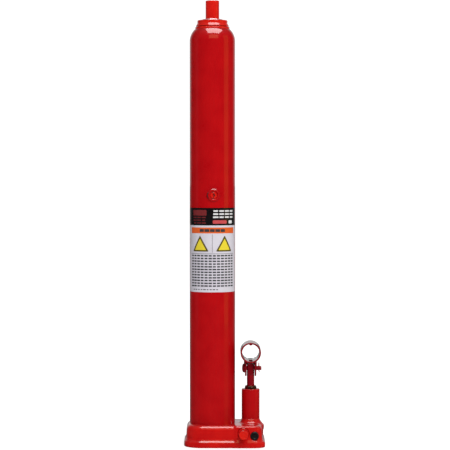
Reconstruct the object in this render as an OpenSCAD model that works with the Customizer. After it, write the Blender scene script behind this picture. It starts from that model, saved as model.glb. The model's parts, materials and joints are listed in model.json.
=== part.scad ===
// Long-ram hydraulic bottle jack, in millimetres.
// Origin: centre of the ram axis on the underside of the base. +Z is up, the pump stands
// on the +X side and the handle socket opens towards -Y, the side that the user faces.

/* [Ram] */
// Height of the closed jack, from the floor to the end of the ram spigot
closed_height = 620; // [600:1:640]
// Travel of the ram
ram_stroke = 490; // [300:5:490]
// Diameter of the ram
ram_d = 28.6; // [26:0.1:30]
// Diameter of the spigot that enters the adapter (3/4 inch)
spigot_d = 19.05; // [17:0.05:22]
// Length of the spigot above the ram shoulder
spigot_len = 26; // [20:1:30]

/* [Reservoir and cylinder] */
// Outer diameter of the reservoir tube (2 1/2 inch)
tube_d = 63.5; // [63:0.5:65]
// Wall of the reservoir tube
tube_wall = 2.5; // [2:0.1:3]
// Bore of the hydraulic cylinder
bore_d = 38; // [38:0.5:40]
// Outer diameter of the hydraulic cylinder
cylinder_d = 48; // [47:0.5:50]
// Height of the oil filler above the floor
filler_z = 349; // [340:1:380]

/* [Base] */
// Height of the cast base under the reservoir
base_h = 30; // [30:1:32]
// Thickness of the foot flange
flange_h = 7.5; // [6:0.5:9]
// Depth of the foot flange, front to back
flange_depth = 90; // [88:1:100]
// Reach of the foot flange to the left of the ram axis
flange_left = 38.7; // [38:0.1:42]
// Reach of the foot flange to the right of the ram axis
flange_right = 73; // [72.5:0.1:76]

/* [Pump] */
// Distance from the ram axis to the pump axis
pump_x = 53.5; // [53:0.5:55]
// Outer diameter of the pump cylinder
pump_d = 25.2; // [24:0.2:26]
// Diameter of the pump plunger
plunger_d = 10.4; // [9.6:0.1:10.6]
// Height of the plunger's cross pin above the floor
cross_pin_z = 106.3; // [106:0.1:108]

/* [Handle socket] */
// Outer diameter of the socket tube
socket_d = 28.6; // [28:0.1:30]
// Bore of the socket tube, for the pump handle
socket_bore_d = 24.2; // [23:0.1:25]
// Height of the socket's centre line above the floor
socket_z = 129.5; // [129:0.1:131]
// Diameter of the linkage pins
pin_d = 6; // [5:0.1:6.4]

/* [Valves] */
// Diameter of the release valve's knob
knob_d = 12.5; // [11:0.1:14]
// Diameter of the black cap over the safety valve
cap_d = 11.6; // [10:0.1:12]

/* [Hidden] */
$fn = 96;
eps = 0.01;
running = 0.05;      // radial clearance of a running fit
seal_gap = 0.03;     // radial clearance between a seal's lip and what slides in it

// ram and cylinder
ram_r = ram_d / 2;
spigot_r = spigot_d / 2;
bore_r = bore_d / 2;
cylinder_r = cylinder_d / 2;
tube_r = tube_d / 2;
tube_in_r = tube_r - tube_wall;
shoulder_z = closed_height - spigot_len;
stud_r = 6;
stud_len = 18;
piston_bottom = 35;
piston_top = 55;
tail_r = 8;
tail_bottom = 14;
wear_z = 42;
wear_h = 8;
wear_depth = 2;
cup_h = 8;
backup_h = 3;
piston_nut_h = 8;
piston_nut_r = 12.7;

// tank nut and the spun shoulder of the reservoir
nut_top = shoulder_z - 1.5;
nut_step_z = 583.2;
nut_seat_z = 580.6;
nut_head_r = 21.15;
nut_ring_r = 24;
nut_groove_r = 20.6;
nut_groove_h = 1;
nut_skirt = 2;
nut_skirt_h = 4.4;
nut_spigot_bottom = piston_top + ram_stroke + 15;
nut_bore_r = ram_r + 0.3;
shoulder_start_z = 563.5;
shoulder_rise = nut_seat_z - shoulder_start_z;
shoulder_in = tube_r - nut_ring_r;
shoulder_arc_r = (pow(shoulder_rise, 2) + pow(shoulder_in, 2)) / (2 * shoulder_in);
neck_r = 21.5;
neck_drop = 2;
cylinder_neck_r = 21.2;
cylinder_neck_z = 556;
cylinder_top = 578;
guide_r = 16.5;
guide_h = 15;
wiper_r = 18;
wiper_z = 586.8;
wiper_h = 4;

// recess for the cylinder and groove for the reservoir tube in the base
recess_z = 12;
gasket_t = 1.5;
cylinder_bottom = recess_z + gasket_t;
groove_z = 26;
tube_bottom = groove_z + gasket_t;

// base
corner_left = 25;
corner_right = 12;
body_half = flange_depth / 2 - 4;
body_left = flange_left - 3.2;
body_right = flange_right - 4.5;
draft = 1.2;
edge_round = 2.5;
block_left = 30;
block_front = flange_depth / 2 - 2.4;
block_back = 28;
block_corner_left = 5;
block_corner_right = 9;
boss_top = 36;
boss_r = 16;

// oil ways
chamber_r = 5;
chamber_z = 12;
oilway_r = 1.6;
suction_x = 26.6;
low_z = 7;
discharge_z = 17;
discharge_seat_x = pump_x + 7;
side_plug_r = 4;
side_head_r = 5;
spot_depth = 1.3;
spot_margin = 0.3;
side_face_x = body_right - spot_depth;
side_head_h = 4;
side_plug_in = discharge_seat_x + 6.3;
gallery_y = -14;
gallery_x = 38;
port_x = 10;

// pump
pump_r = pump_d / 2;
plunger_r = plunger_d / 2;
pump_top = 77.5;
pump_spigot_r = 9;
pump_spigot_z = 24;
gland_r = 8.2;
gland_thread_r = 8;
gland_top = 81.8;
seal_z = 66;
seal_h = 4;
plunger_bottom = 38;
plunger_top = 112.3;
flat_half = 3.9;
flat_y = sqrt(pow(plunger_r, 2) - pow(flat_half, 2));
flat_z = 97;
runout_r = plunger_r;

// handle socket, link and their pins
pin_r = pin_d / 2;
socket_r = socket_d / 2;
socket_bore_r = socket_bore_d / 2;
socket_front = -22;
socket_back = 18;
cheek_out = 7.9;
cheek_t = 2.2;
cheek_r = 10.4;
rear_pin_y = 27;
rear_pin_z = 111;
rear_lobe_r = 8;
rivet_r = 4.5;
rivet_h = 1.2;
link_half = 3.6;
link_top_y = rear_pin_y - 1.01;
link_top_r = 6.6;
link_play = 1.1;
link_foot_y = link_top_y;
link_foot_z = 38;
link_foot_r = 7;
link_bar_half = 5;
ear_gap = 4;
ear_t = 4.5;
ear_r = 7.5;
head_r = 6.35;
head_h = 4.2;
cross_pin_tail = 15.2;
cotter_r = 0.9;
cotter_x = 11.8;

// release valve and safety valve
release_x = 43.2;
release_z = 20;
release_seat_y = -20;
release_bore_r = 4;
stem_r = release_bore_r - running;
ball_r = 2.4;
release_ball_y = release_seat_y - sqrt(pow(ball_r, 2) - pow(oilway_r, 2)) - 0.02;
stem_tip_y = release_ball_y - ball_r;
stem_end_y = -57;
knob_front = -62;
knob_back = -50;
gland_face = -(block_front - spot_depth);
release_gland_r = 7.5;
release_gland_h = 3.5;
oring_r = 1;
oring_y = -38;
safety_x = 58.6;
safety_z = 16.4;
safety_bore_r = 3.2;
safety_seat_y = -18;
safety_ball_y = safety_seat_y - sqrt(pow(ball_r, 2) - pow(oilway_r, 2)) - 0.02;
safety_spring_y = safety_ball_y - 1.6;
safety_screw_y = -31;
safety_screw_end = -38.5;
cap_floor_y = -40;
cap_front_y = -44.2;

// label
label_t = 0.15;
label_half_angle = 77;
label_top = 331.5;
label_split = 307.2;
label_bottom = 214.6;

// filler
filler_angle = -3.4;
filler_boss_r = 8;
filler_out = 34.6;
filler_in = 27.6;
filler_plug_r = 4.9;

// ---- shared shapes ----

// A ring or a tube about the Z axis, from z0 to z1.
module ring(r_out, r_in, z0, z1) {
    translate([0, 0, z0])
        difference() {
            cylinder(r = r_out, h = z1 - z0);
            translate([0, 0, -1]) cylinder(r = r_in, h = z1 - z0 + 2);
        }
}

// A rod about the Z axis, from z0 to z1.
module rod(r, z0, z1) {
    translate([0, 0, z0]) cylinder(r = r, h = z1 - z0);
}

// A rod with chamfered ends.
module chamfered_rod(r, z0, z1, c0, c1) {
    rotate_extrude()
        polygon([[0, z0], [r - c0, z0], [r, z0 + c0], [r, z1 - c1], [r - c1, z1], [0, z1]]);
}

// Places its children with their Z axis along -Y, so that z is the distance in front of y = 0.
module facing_front(x, z) {
    translate([x, 0, z]) rotate([90, 0, 0]) children();
}

// Places its children with their Z axis along +X.
module facing_right(x, y, z) {
    translate([x, y, z]) rotate([0, 90, 0]) children();
}

// Extrudes an outline drawn in Y and Z along X, from x0 to x1.
module plate(x0, x1) {
    translate([x0, 0, 0]) rotate([90, 0, 90]) linear_extrude(height = x1 - x0) children();
}

// The four points where the outer tangents of two circles touch them.
function tangent_points(c1, r1, c2, r2) =
    let (d = c2 - c1, dist = norm(d), phi = atan2(d[1], d[0]), beta = acos((r1 - r2) / dist))
    [c1 + r1 * [cos(phi + beta), sin(phi + beta)],
     c2 + r2 * [cos(phi + beta), sin(phi + beta)],
     c2 + r2 * [cos(phi - beta), sin(phi - beta)],
     c1 + r1 * [cos(phi - beta), sin(phi - beta)]];

// Two discs and the straight web between them.
module strap(c1, r1, c2, r2) {
    translate(c1) circle(r = r1);
    translate(c2) circle(r = r2);
    polygon(tangent_points(c1, r1, c2, r2));
}

module o_ring(major_r, minor_r) {
    rotate_extrude() translate([major_r, 0]) circle(r = minor_r, $fn = 24);
}

// Outline of the foot: large corners on the ram side, small ones on the pump side.
module foot_plan(left, right, half, r_left, r_right) {
    translate([-left, -half + r_left]) square([left + right, 2 * (half - r_left)]);
    translate([-left + r_left, -half]) square([left + right - r_left - r_right, 2 * half]);
    translate([right - r_right - eps, -half + r_right]) square([r_right + eps, 2 * (half - r_right)]);
    for (s = [-1, 1]) {
        translate([-left + r_left, s * (half - r_left)]) circle(r = r_left);
        translate([right - r_right, s * (half - r_right)]) circle(r = r_right);
    }
}

// Points of one ring of a coil spring's wire, square to its axis.
function coil_ring(turn, coil_r, wire_r, length, turns, sides) =
    let (a = 360 * turn, z = wire_r + (length - 2 * wire_r) * turn / turns)
    [for (k = [0 : sides - 1])
        let (b = 360 * k / sides, q = coil_r + wire_r * cos(b))
        [q * cos(a), q * sin(a), z + wire_r * sin(b)]];

// A round-wire coil spring along Z, from z = 0 to z = length.
module coil_spring(coil_r, wire_r, length, turns) {
    sides = 8;
    steps = 10 * turns;
    rings = [for (i = [0 : steps]) coil_ring(i / 10, coil_r, wire_r, length, turns, sides)];
    points = [for (r = rings) for (p = r) p];
    walls = [for (i = [0 : steps - 1]) for (k = [0 : sides - 1])
        let (a = i * sides + k, b = i * sides + (k + 1) % sides)
        [a, a + sides, b + sides, b]];
    first = [for (k = [0 : sides - 1]) k];
    last = [for (k = [sides - 1 : -1 : 0]) steps * sides + k];
    polyhedron(points = points, faces = concat(walls, [first, last]));
}

// ---- base ----

// One tapered corner post of the cast body, with a chamfered top edge.
module corner_post(x, y, r, z0, z1) {
    translate([x, y, z0]) {
        cylinder(r1 = r + draft, r2 = r, h = z1 - z0 - edge_round, $fn = 32);
        translate([0, 0, z1 - z0 - edge_round])
            cylinder(r1 = r, r2 = r - edge_round * 0.7, h = edge_round, $fn = 32);
    }
}

module cast_body() {
    r_left = corner_left - 1;
    r_right = corner_right - 1.5;
    hull()
        for (s = [-1, 1]) {
            corner_post(-body_left + r_left, s * (body_half - r_left), r_left, flange_h - 1, base_h);
            corner_post(body_right - r_right, s * (body_half - r_right), r_right, flange_h - 1, base_h);
        }
}

// The thicker block that holds the valves, in front of the pump.
module valve_block() {
    c_left = block_corner_left;
    c_right = block_corner_right;
    hull() {
        for (y = [-block_front + c_left, -block_back])
            corner_post(block_left + c_left, y, c_left, flange_h - 1, base_h);
        for (y = [-block_front + c_right, -block_back])
            corner_post(body_right - c_right, y, c_right, flange_h - 1, base_h);
    }
}

module link_ears() {
    for (x0 = [pump_x - ear_gap - ear_t, pump_x + ear_gap])
        plate(x0, x0 + ear_t) {
            translate([link_foot_y, link_foot_z]) circle(r = ear_r);
            translate([link_foot_y - ear_r, base_h - 2]) square([2 * ear_r, link_foot_z - base_h + 2]);
        }
}

// Everything that is drilled or cored out of the casting.
module base_cavities() {
    // seat of the cylinder and groove of the reservoir tube
    rod(cylinder_r + running, recess_z, base_h + 1);
    ring(tube_r + running, tube_in_r - running, groove_z, base_h + 1);
    // thread for the pump cylinder, and the pressure chamber below it
    translate([pump_x, 0, 0]) {
        rod(pump_spigot_r, pump_spigot_z - gasket_t, boss_top + 1);
        rod(chamber_r, chamber_z, pump_spigot_z);
        rod(oilway_r, low_z, chamber_z + 1);
    }
    // suction way, from the reservoir to the foot of the chamber
    translate([suction_x, 0, 0]) rod(oilway_r, low_z, base_h + 1);
    facing_right(suction_x, 0, low_z) rod(oilway_r, 0, pump_x - suction_x);
    // discharge valve, from the chamber to the right-hand side
    facing_right(0, 0, discharge_z) {
        rod(oilway_r, pump_x, discharge_seat_x + 1);
        rod(ball_r + 0.3, discharge_seat_x, discharge_seat_x + 7);
        rod(side_plug_r, discharge_seat_x + 6, flange_right + 5);
        rod(side_head_r + spot_margin, side_face_x, flange_right + 5);
    }
    // gallery that joins the discharge, safety and release valves, and leads under the ram
    facing_front(discharge_seat_x + 3, discharge_z) rod(oilway_r, 0, -gallery_y);
    facing_right(0, gallery_y, discharge_z) rod(oilway_r, gallery_x, discharge_seat_x + 3);
    translate([gallery_x, gallery_y, 0]) rod(oilway_r, -1, discharge_z);
    facing_right(0, gallery_y, low_z) rod(oilway_r, port_x, gallery_x);
    translate([port_x, gallery_y, 0]) rod(oilway_r, -1, recess_z + 1);
    // safety valve
    facing_front(safety_x, safety_z) {
        rod(oilway_r, -gallery_y, -safety_seat_y + 1);
        rod(safety_bore_r, -safety_seat_y, -cap_floor_y + 1);
        rod(cap_d / 2, -cap_floor_y, block_front + 5);
    }
    // release valve and the way back to the reservoir
    facing_front(release_x, release_z) {
        rod(oilway_r, -gallery_y - 2, -release_seat_y + 1);
        rod(release_bore_r, -release_seat_y, block_front + 5);
        rod(release_gland_r + spot_margin, -gland_face, block_front + 5);
    }
    translate([release_x, gallery_y, discharge_z - 1]) rod(oilway_r, 0, release_z - discharge_z + 1);
    translate([24, -11.5, 0]) rod(1.3, 18, base_h + 1);
    translate([24, -11.5, release_z - 0.5]) rotate([0, 90, atan2(-12.5, 19.2)]) rod(1.3, 0, 20);
    // cross hole of the link's lower pin
    facing_right(pump_x, link_foot_y, link_foot_z) rod(pin_r, -12, 12);
}

module base() {
    color("firebrick")
        difference() {
            union() {
                linear_extrude(height = flange_h)
                    foot_plan(flange_left, flange_right, flange_depth / 2, corner_left, corner_right);
                cast_body();
                valve_block();
                translate([pump_x, 0, base_h - 1])
                    cylinder(r1 = boss_r, r2 = pump_r, h = boss_top - base_h + 1);
                link_ears();
            }
            base_cavities();
        }
}

module cylinder_gasket() {
    color("peru") ring(cylinder_r, bore_r, recess_z, cylinder_bottom);
}

module reservoir_seal() {
    color("dimgray") ring(tube_r, tube_in_r, groove_z, tube_bottom);
}

module suction_screen() {
    color("silver") translate([suction_x, 0, 0]) ring(2.4, 1.1, base_h, base_h + 0.6);
}

// Discs that close the drillings on the underside of the base.
module gallery_plugs() {
    color("silver")
        for (x = [gallery_x, port_x])
            translate([x, gallery_y, 0]) rod(oilway_r, 0.3, 3.3);
}

// ---- reservoir, cylinder and tank nut ----

// Half outline of the reservoir: straight wall and spun shoulder.
module reservoir_outline(r, arc_r, start_z) {
    square([r, start_z]);
    intersection() {
        translate([tube_r - shoulder_arc_r, start_z]) circle(r = arc_r);
        translate([0, start_z - eps]) square([r, shoulder_rise + eps + 5]);
    }
    translate([0, start_z]) square([tube_r - shoulder_arc_r + eps, shoulder_rise]);
}

module reservoir_tube() {
    color("red")
        difference() {
            rotate_extrude()
                difference() {
                    intersection() {
                        reservoir_outline(tube_r, shoulder_arc_r, shoulder_start_z);
                        translate([0, tube_bottom]) square([tube_r + 1, nut_seat_z - tube_bottom]);
                    }
                    reservoir_outline(tube_in_r, shoulder_arc_r - tube_wall, shoulder_start_z - neck_drop);
                    translate([0, shoulder_start_z - 10]) square([neck_r, 30]);
                }
            rotate([0, 0, filler_angle]) facing_front(0, filler_z) rod(filler_boss_r, 20, 40);
        }
}

module hydraulic_cylinder() {
    color("gray") {
        difference() {
            union() {
                rod(cylinder_r, cylinder_bottom, cylinder_neck_z);
                rod(cylinder_neck_r, cylinder_neck_z - 1, cylinder_top);
            }
            rod(bore_r, 0, closed_height);
        }
    }
}

module tank_nut() {
    color("orangered")
        rotate_extrude()
            difference() {
                union() {
                    translate([0, nut_spigot_bottom]) square([bore_r, nut_top - nut_spigot_bottom]);
                    translate([0, nut_seat_z]) square([nut_ring_r, nut_step_z - nut_seat_z]);
                    translate([0, nut_step_z]) square([nut_groove_r, nut_top - nut_step_z - 1]);
                    polygon([[0, nut_step_z + nut_groove_h],
                        [nut_head_r + nut_skirt, nut_step_z + nut_groove_h],
                        [nut_head_r, nut_step_z + nut_groove_h + nut_skirt_h],
                        [nut_head_r, nut_top - 1], [nut_head_r - 1, nut_top], [0, nut_top]]);
                }
                square([nut_bore_r, closed_height]);
                translate([0, nut_spigot_bottom - 1]) square([guide_r, guide_h + 1]);
                translate([0, wiper_z]) square([wiper_r, wiper_h]);
            }
}

module tank_nut_oring() {
    color("black") translate([0, 0, cylinder_top + 1.3]) o_ring(bore_r + 1.25, 1.2);
}

module rod_guide() {
    color("goldenrod") ring(guide_r, ram_r + running, nut_spigot_bottom, nut_spigot_bottom + guide_h);
}

module rod_wiper() {
    color("black") ring(wiper_r, ram_r + seal_gap, wiper_z, wiper_z + wiper_h);
}

module filler_boss() {
    color("red")
        rotate([0, 0, filler_angle]) facing_front(0, filler_z)
            rotate_extrude()
                polygon([[filler_plug_r, filler_in], [filler_boss_r, filler_in],
                    [filler_boss_r, filler_out - 0.8], [filler_boss_r - 0.8, filler_out],
                    [filler_plug_r + 1.2, filler_out], [filler_plug_r, filler_out - 1.2]]);
}

module filler_plug() {
    color("orangered")
        rotate([0, 0, filler_angle]) facing_front(0, filler_z)
            difference() {
                rotate_extrude()
                    polygon([[0, filler_in], [filler_plug_r, filler_in], [filler_plug_r, filler_out - 1.3],
                        [filler_plug_r - 1, filler_out - 0.4], [0, filler_out - 0.4]]);
                cylinder(r = 2, h = filler_out + 1, $fn = 6);
            }
}

module filler_plug_oring() {
    color("black")
        rotate([0, 0, filler_angle]) facing_front(0, filler_z) translate([0, 0, filler_out - 0.68])
            o_ring(filler_plug_r, 0.34);
}

module label_band(z0, z1) {
    rotate([0, 0, -90 - label_half_angle])
        rotate_extrude(angle = 2 * label_half_angle)
            translate([tube_r, z0]) square([label_t, z1 - z0]);
}

module label_header() {
    color("black") label_band(label_split, label_top);
}

module label_panel() {
    color("white") label_band(label_bottom, label_split);
}

// ---- ram ----

module ram_rod() {
    color("lightgray")
        difference() {
            union() {
                chamfered_rod(ram_r, piston_top, shoulder_z, 1, 1.5);
                rod(tail_r, tail_bottom, piston_top + 1);
            }
            rod(stud_r, shoulder_z - stud_len - 2, shoulder_z + 1);
        }
}

module ram_tip() {
    color("red") {
        chamfered_rod(spigot_r, shoulder_z, closed_height, eps, 1.2);
        rod(stud_r, shoulder_z - stud_len, shoulder_z + 1);
    }
}

module piston() {
    color("gray")
        difference() {
            ring(bore_r - running, tail_r, piston_bottom, piston_top);
            ring(bore_r + 1, bore_r - wear_depth, wear_z, wear_z + wear_h);
        }
}

module piston_wear_ring() {
    color("saddlebrown") ring(bore_r - seal_gap, bore_r - wear_depth, wear_z, wear_z + wear_h);
}

module piston_cup_seal() {
    lip_r = bore_r - seal_gap;
    z0 = piston_bottom - cup_h;
    color("black")
        rotate_extrude()
            polygon([[tail_r, z0 + 3], [lip_r - 3.5, z0 + 3], [lip_r - 1.5, z0], [lip_r, z0],
                [lip_r, piston_bottom], [tail_r, piston_bottom]]);
}

module piston_backup_ring() {
    color("silver") ring(bore_r - 5.2, tail_r, piston_bottom - cup_h, piston_bottom - cup_h + backup_h);
}

module piston_nut() {
    top = piston_bottom - cup_h;
    color("silver")
        difference() {
            translate([0, 0, top - piston_nut_h]) cylinder(r = piston_nut_r, h = piston_nut_h, $fn = 6);
            rod(tail_r, 0, piston_bottom);
        }
}

// ---- pump ----

module pump_cylinder() {
    color("red") translate([pump_x, 0, 0])
        difference() {
            union() {
                chamfered_rod(pump_r, boss_top, pump_top, eps, 0.8);
                rod(pump_spigot_r, pump_spigot_z, boss_top + 1);
            }
            rod(plunger_r + running, 0, closed_height);
            rod(gland_thread_r, seal_z, pump_top + 1);
        }
}

module pump_gasket() {
    color("peru") translate([pump_x, 0, 0])
        ring(pump_spigot_r, chamber_r, pump_spigot_z - gasket_t, pump_spigot_z);
}

module plunger_seal() {
    r_in = plunger_r + seal_gap;
    color("black") translate([pump_x, 0, 0])
        rotate_extrude()
            polygon([[r_in, seal_z], [r_in + 0.8, seal_z], [r_in + 1.3, seal_z + 1.6],
                [gland_thread_r - 0.6, seal_z + 1.6], [gland_thread_r - 0.2, seal_z],
                [gland_thread_r, seal_z], [gland_thread_r, seal_z + seal_h], [r_in, seal_z + seal_h]]);
}

module pump_gland() {
    color("dimgray") translate([pump_x, 0, 0])
        difference() {
            union() {
                rod(gland_thread_r, seal_z + seal_h, pump_top + 1);
                chamfered_rod(gland_r, pump_top, gland_top, eps, 0.9);
            }
            rod(plunger_r + running, 0, closed_height);
        }
}

module plunger() {
    color("firebrick") translate([pump_x, 0, 0])
        difference() {
            chamfered_rod(plunger_r, plunger_bottom, plunger_top, 0.6, 1.4);
            // milled flat on the front of the head, with a round run-out
            translate([0, -flat_y, flat_z + runout_r]) rotate([90, 0, 0]) {
                cylinder(r = runout_r, h = plunger_r);
                translate([-runout_r, 0, 0]) cube([2 * runout_r, 30, plunger_r]);
            }
            facing_right(0, 0, cross_pin_z) rod(pin_r + running, -20, 20);
        }
}

// ---- handle socket and link ----

module cheek_outline() {
    strap([0, cross_pin_z], cheek_r, [rear_pin_y, rear_pin_z], rear_lobe_r);
    top = socket_z - 8;
    shelf = rear_pin_z + rear_lobe_r - 0.5;
    polygon([[-cheek_r, cross_pin_z], [-cheek_r - 2, top], [socket_back, top], [socket_back, shelf],
        [rear_pin_y, shelf], [rear_pin_y, rear_pin_z]]);
}

module handle_socket() {
    color("red") translate([pump_x, 0, 0])
        difference() {
            union() {
                facing_front(0, socket_z) rod(socket_r, -socket_back, -socket_front);
                for (x0 = [-cheek_out, cheek_out - cheek_t]) plate(x0, x0 + cheek_t) cheek_outline();
            }
            facing_front(0, socket_z) rod(socket_bore_r, -socket_back - 20, -socket_front + 20);
            facing_right(0, 0, cross_pin_z) rod(pin_r, -20, 20);
            facing_right(0, rear_pin_y, rear_pin_z) rod(pin_r, -20, 20);
        }
}

module plunger_pin() {
    color("firebrick") facing_right(pump_x, 0, cross_pin_z)
        difference() {
            union() {
                chamfered_rod(pin_r, -cheek_out, cross_pin_tail, eps, 0.8);
                // domed head
                rotate_extrude()
                    polygon([[0, -cheek_out], [head_r, -cheek_out], [head_r, -cheek_out - 1.2],
                        [head_r - 1, -cheek_out - 2.4], [head_r - 2.6, -cheek_out - 3.1],
                        [0, -cheek_out - head_h]]);
            }
            translate([-20, 0, cotter_x]) rotate([0, 90, 0]) cylinder(r = cotter_r, h = 40);
        }
}

module plunger_pin_cotter() {
    color("darkred") translate([pump_x + cotter_x, 0, cross_pin_z]) {
        translate([0, 0, -pin_r - 3]) cylinder(r = cotter_r, h = 2 * pin_r + 4.5, $fn = 24);
        translate([0, 0, pin_r + 2.6]) rotate([0, 90, 90])
            rotate_extrude() translate([1.5, 0]) circle(r = 0.7, $fn = 16);
    }
}

module link_upper_pin() {
    color("darkred") facing_right(pump_x, rear_pin_y, rear_pin_z) {
        rod(pin_r, -cheek_out, cheek_out);
        chamfered_rod(rivet_r, cheek_out, cheek_out + rivet_h, eps, 0.5);
        chamfered_rod(rivet_r, -cheek_out - rivet_h, -cheek_out, 0.5, eps);
    }
}

module link() {
    top = [link_top_y, rear_pin_z];
    foot = [link_foot_y, link_foot_z];
    color("black") translate([pump_x, 0, 0])
        difference() {
            plate(-link_half, link_half) {
                translate(top) circle(r = link_top_r);
                translate(foot) circle(r = link_foot_r);
                translate(foot - [link_bar_half, 0]) square([2 * link_bar_half, top[1] - foot[1]]);
            }
            facing_right(0, top[0], top[1]) rod(pin_r + link_play, -20, 20);
            facing_right(0, foot[0], foot[1]) rod(pin_r + running, -20, 20);
        }
}

module link_lower_pin() {
    reach = ear_gap + ear_t;
    color("silver") facing_right(pump_x, link_foot_y, link_foot_z)
        difference() {
            chamfered_rod(pin_r, -reach - 2.5, reach + 2.5, 0.5, 0.5);
            for (z0 = [-reach - 1.6, reach + 0.6]) ring(pin_r + 1, pin_r - 0.6, z0, z0 + 1);
        }
}

module link_lower_clips() {
    reach = ear_gap + ear_t;
    color("dimgray") facing_right(pump_x, link_foot_y, link_foot_z)
        for (z0 = [-reach - 1.5, reach + 0.7])
            difference() {
                ring(pin_r + 2, pin_r - 0.6, z0, z0 + 0.8);
                translate([-pin_r - 3, -1.5, z0 - 1]) cube([pin_r + 3, 3, 3]);
            }
}

// ---- valves ----

module release_stem() {
    groove_r = stem_r - 2 * oring_r + 0.1;
    color("silver") facing_front(release_x, release_z)
        difference() {
            chamfered_rod(stem_r, -stem_tip_y, -stem_end_y, 0.8, 0.5);
            ring(stem_r + 1, groove_r, -oring_y - oring_r, -oring_y + oring_r);
        }
}

module release_oring() {
    color("black") facing_front(release_x, release_z) translate([0, 0, -oring_y])
        o_ring(stem_r - oring_r + 0.05, oring_r - 0.05);
}

module release_knob() {
    color("red") facing_front(release_x, release_z)
        difference() {
            chamfered_rod(knob_d / 2, -knob_back, -knob_front, 0.8, 0.9);
            rod(stem_r, 0, -stem_end_y);
        }
}

module release_gland() {
    color("red") facing_front(release_x, release_z)
        ring(release_gland_r, release_bore_r + running, -gland_face, -gland_face + release_gland_h);
}

module release_ball() {
    color("silver") translate([release_x, release_ball_y, release_z]) sphere(r = ball_r - 0.02);
}

module suction_ball() {
    color("silver") translate([pump_x, 0, chamber_z + sqrt(pow(ball_r, 2) - pow(oilway_r, 2)) + 0.02])
        sphere(r = ball_r);
}

module discharge_ball() {
    color("silver")
        translate([discharge_seat_x + sqrt(pow(ball_r, 2) - pow(oilway_r, 2)) + 0.02, 0, discharge_z])
            sphere(r = ball_r);
}

module discharge_spring() {
    color("silver") facing_right(discharge_seat_x + 4.6, 0, discharge_z) coil_spring(1.6, 0.3, 2.3, 2);
}

module discharge_plug() {
    color("firebrick") facing_right(0, 0, discharge_z)
        difference() {
            union() {
                rod(side_plug_r, side_plug_in, side_face_x + eps);
                chamfered_rod(side_head_r, side_face_x, side_face_x + side_head_h, eps, 1);
            }
            // seat of the spring, and hexagon socket
            rod(2.2, side_plug_in - 1, side_face_x + 0.6);
            translate([0, 0, side_face_x + 1.8]) cylinder(r = 2.2, h = 5, $fn = 6);
        }
}

module safety_ball() {
    color("silver") translate([safety_x, safety_ball_y, safety_z]) sphere(r = ball_r);
}

module safety_spring() {
    length = safety_spring_y - safety_screw_y;
    color("silver") facing_front(safety_x, safety_z) translate([0, 0, -safety_spring_y])
        coil_spring(2, 0.4, length, 6);
}

module safety_screw() {
    color("silver") facing_front(safety_x, safety_z)
        difference() {
            rod(safety_bore_r, -safety_screw_y, -safety_screw_end);
            translate([0, 0, -safety_screw_end - 3]) cylinder(r = 1.7, h = 5, $fn = 6);
        }
}

module safety_cap() {
    color("black") facing_front(safety_x, safety_z)
        rotate_extrude()
            polygon([[0, -cap_floor_y], [cap_d / 2, -cap_floor_y], [cap_d / 2, -cap_front_y - 0.6],
                [cap_d / 2 - 0.8, -cap_front_y], [cap_d / 2 - 2.4, -cap_front_y],
                [cap_d / 2 - 3, -cap_front_y - 0.8], [0, -cap_front_y - 0.8]]);
}

base();
reservoir_tube();
hydraulic_cylinder();
cylinder_gasket();
reservoir_seal();
tank_nut();
tank_nut_oring();
rod_guide();
rod_wiper();
filler_boss();
filler_plug();
filler_plug_oring();
label_header();
label_panel();
pump_cylinder();
pump_gasket();
plunger_seal();
pump_gland();
link_lower_pin();
link_lower_clips();
safety_screw();
safety_spring();
safety_cap();
discharge_plug();
discharge_spring();
release_gland();
suction_screen();
gallery_plugs();
ram_rod();
ram_tip();
piston();
piston_wear_ring();
piston_cup_seal();
piston_backup_ring();
piston_nut();
plunger();
handle_socket();
plunger_pin();
plunger_pin_cotter();
link_upper_pin();
link();
release_stem();
release_knob();
release_oring();
release_ball();
suction_ball();
discharge_ball();
safety_ball();
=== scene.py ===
# %% [markdown]
# # A long-ram bottle jack
# A bottle jack is a hydraulic press that stands on its own foot. A hand pump on the right pushes
# oil under a long ram in the middle. The outside is thick red enamel over a turned tube, a sand
# casting and bent plate, so this lesson is about three kinds of shape: turned, cast and wrapped.
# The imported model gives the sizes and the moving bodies, and everything here rides on them.

# %% Load the frame and measure it
import json
import math
import bpy
import bmesh
import numpy as np
from mathutils import Matrix, Vector


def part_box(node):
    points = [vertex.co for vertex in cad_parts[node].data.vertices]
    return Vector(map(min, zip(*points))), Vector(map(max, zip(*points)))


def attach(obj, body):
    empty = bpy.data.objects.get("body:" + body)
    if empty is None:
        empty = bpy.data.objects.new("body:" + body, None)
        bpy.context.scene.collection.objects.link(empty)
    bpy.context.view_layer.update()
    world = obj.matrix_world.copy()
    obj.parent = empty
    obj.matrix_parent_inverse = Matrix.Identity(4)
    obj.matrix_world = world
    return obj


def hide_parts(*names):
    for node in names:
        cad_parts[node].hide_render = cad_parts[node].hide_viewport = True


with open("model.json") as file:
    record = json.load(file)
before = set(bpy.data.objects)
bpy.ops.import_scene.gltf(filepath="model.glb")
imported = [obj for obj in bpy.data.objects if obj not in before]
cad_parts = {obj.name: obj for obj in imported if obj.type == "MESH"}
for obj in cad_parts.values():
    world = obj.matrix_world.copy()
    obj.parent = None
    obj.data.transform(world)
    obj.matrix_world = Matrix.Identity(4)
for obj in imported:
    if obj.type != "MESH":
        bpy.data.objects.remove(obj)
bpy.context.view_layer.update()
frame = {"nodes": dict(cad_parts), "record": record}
MM = 0.001

# %% [markdown]
# Every place comes from the frame. A node's box gives its axis and its ends, so the pump axis,
# the ram axis and the height of the socket are read once and used by name. The pieces below are
# drawn in millimetres, because that is how a machinist thinks of them, and scaled at the end.

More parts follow.
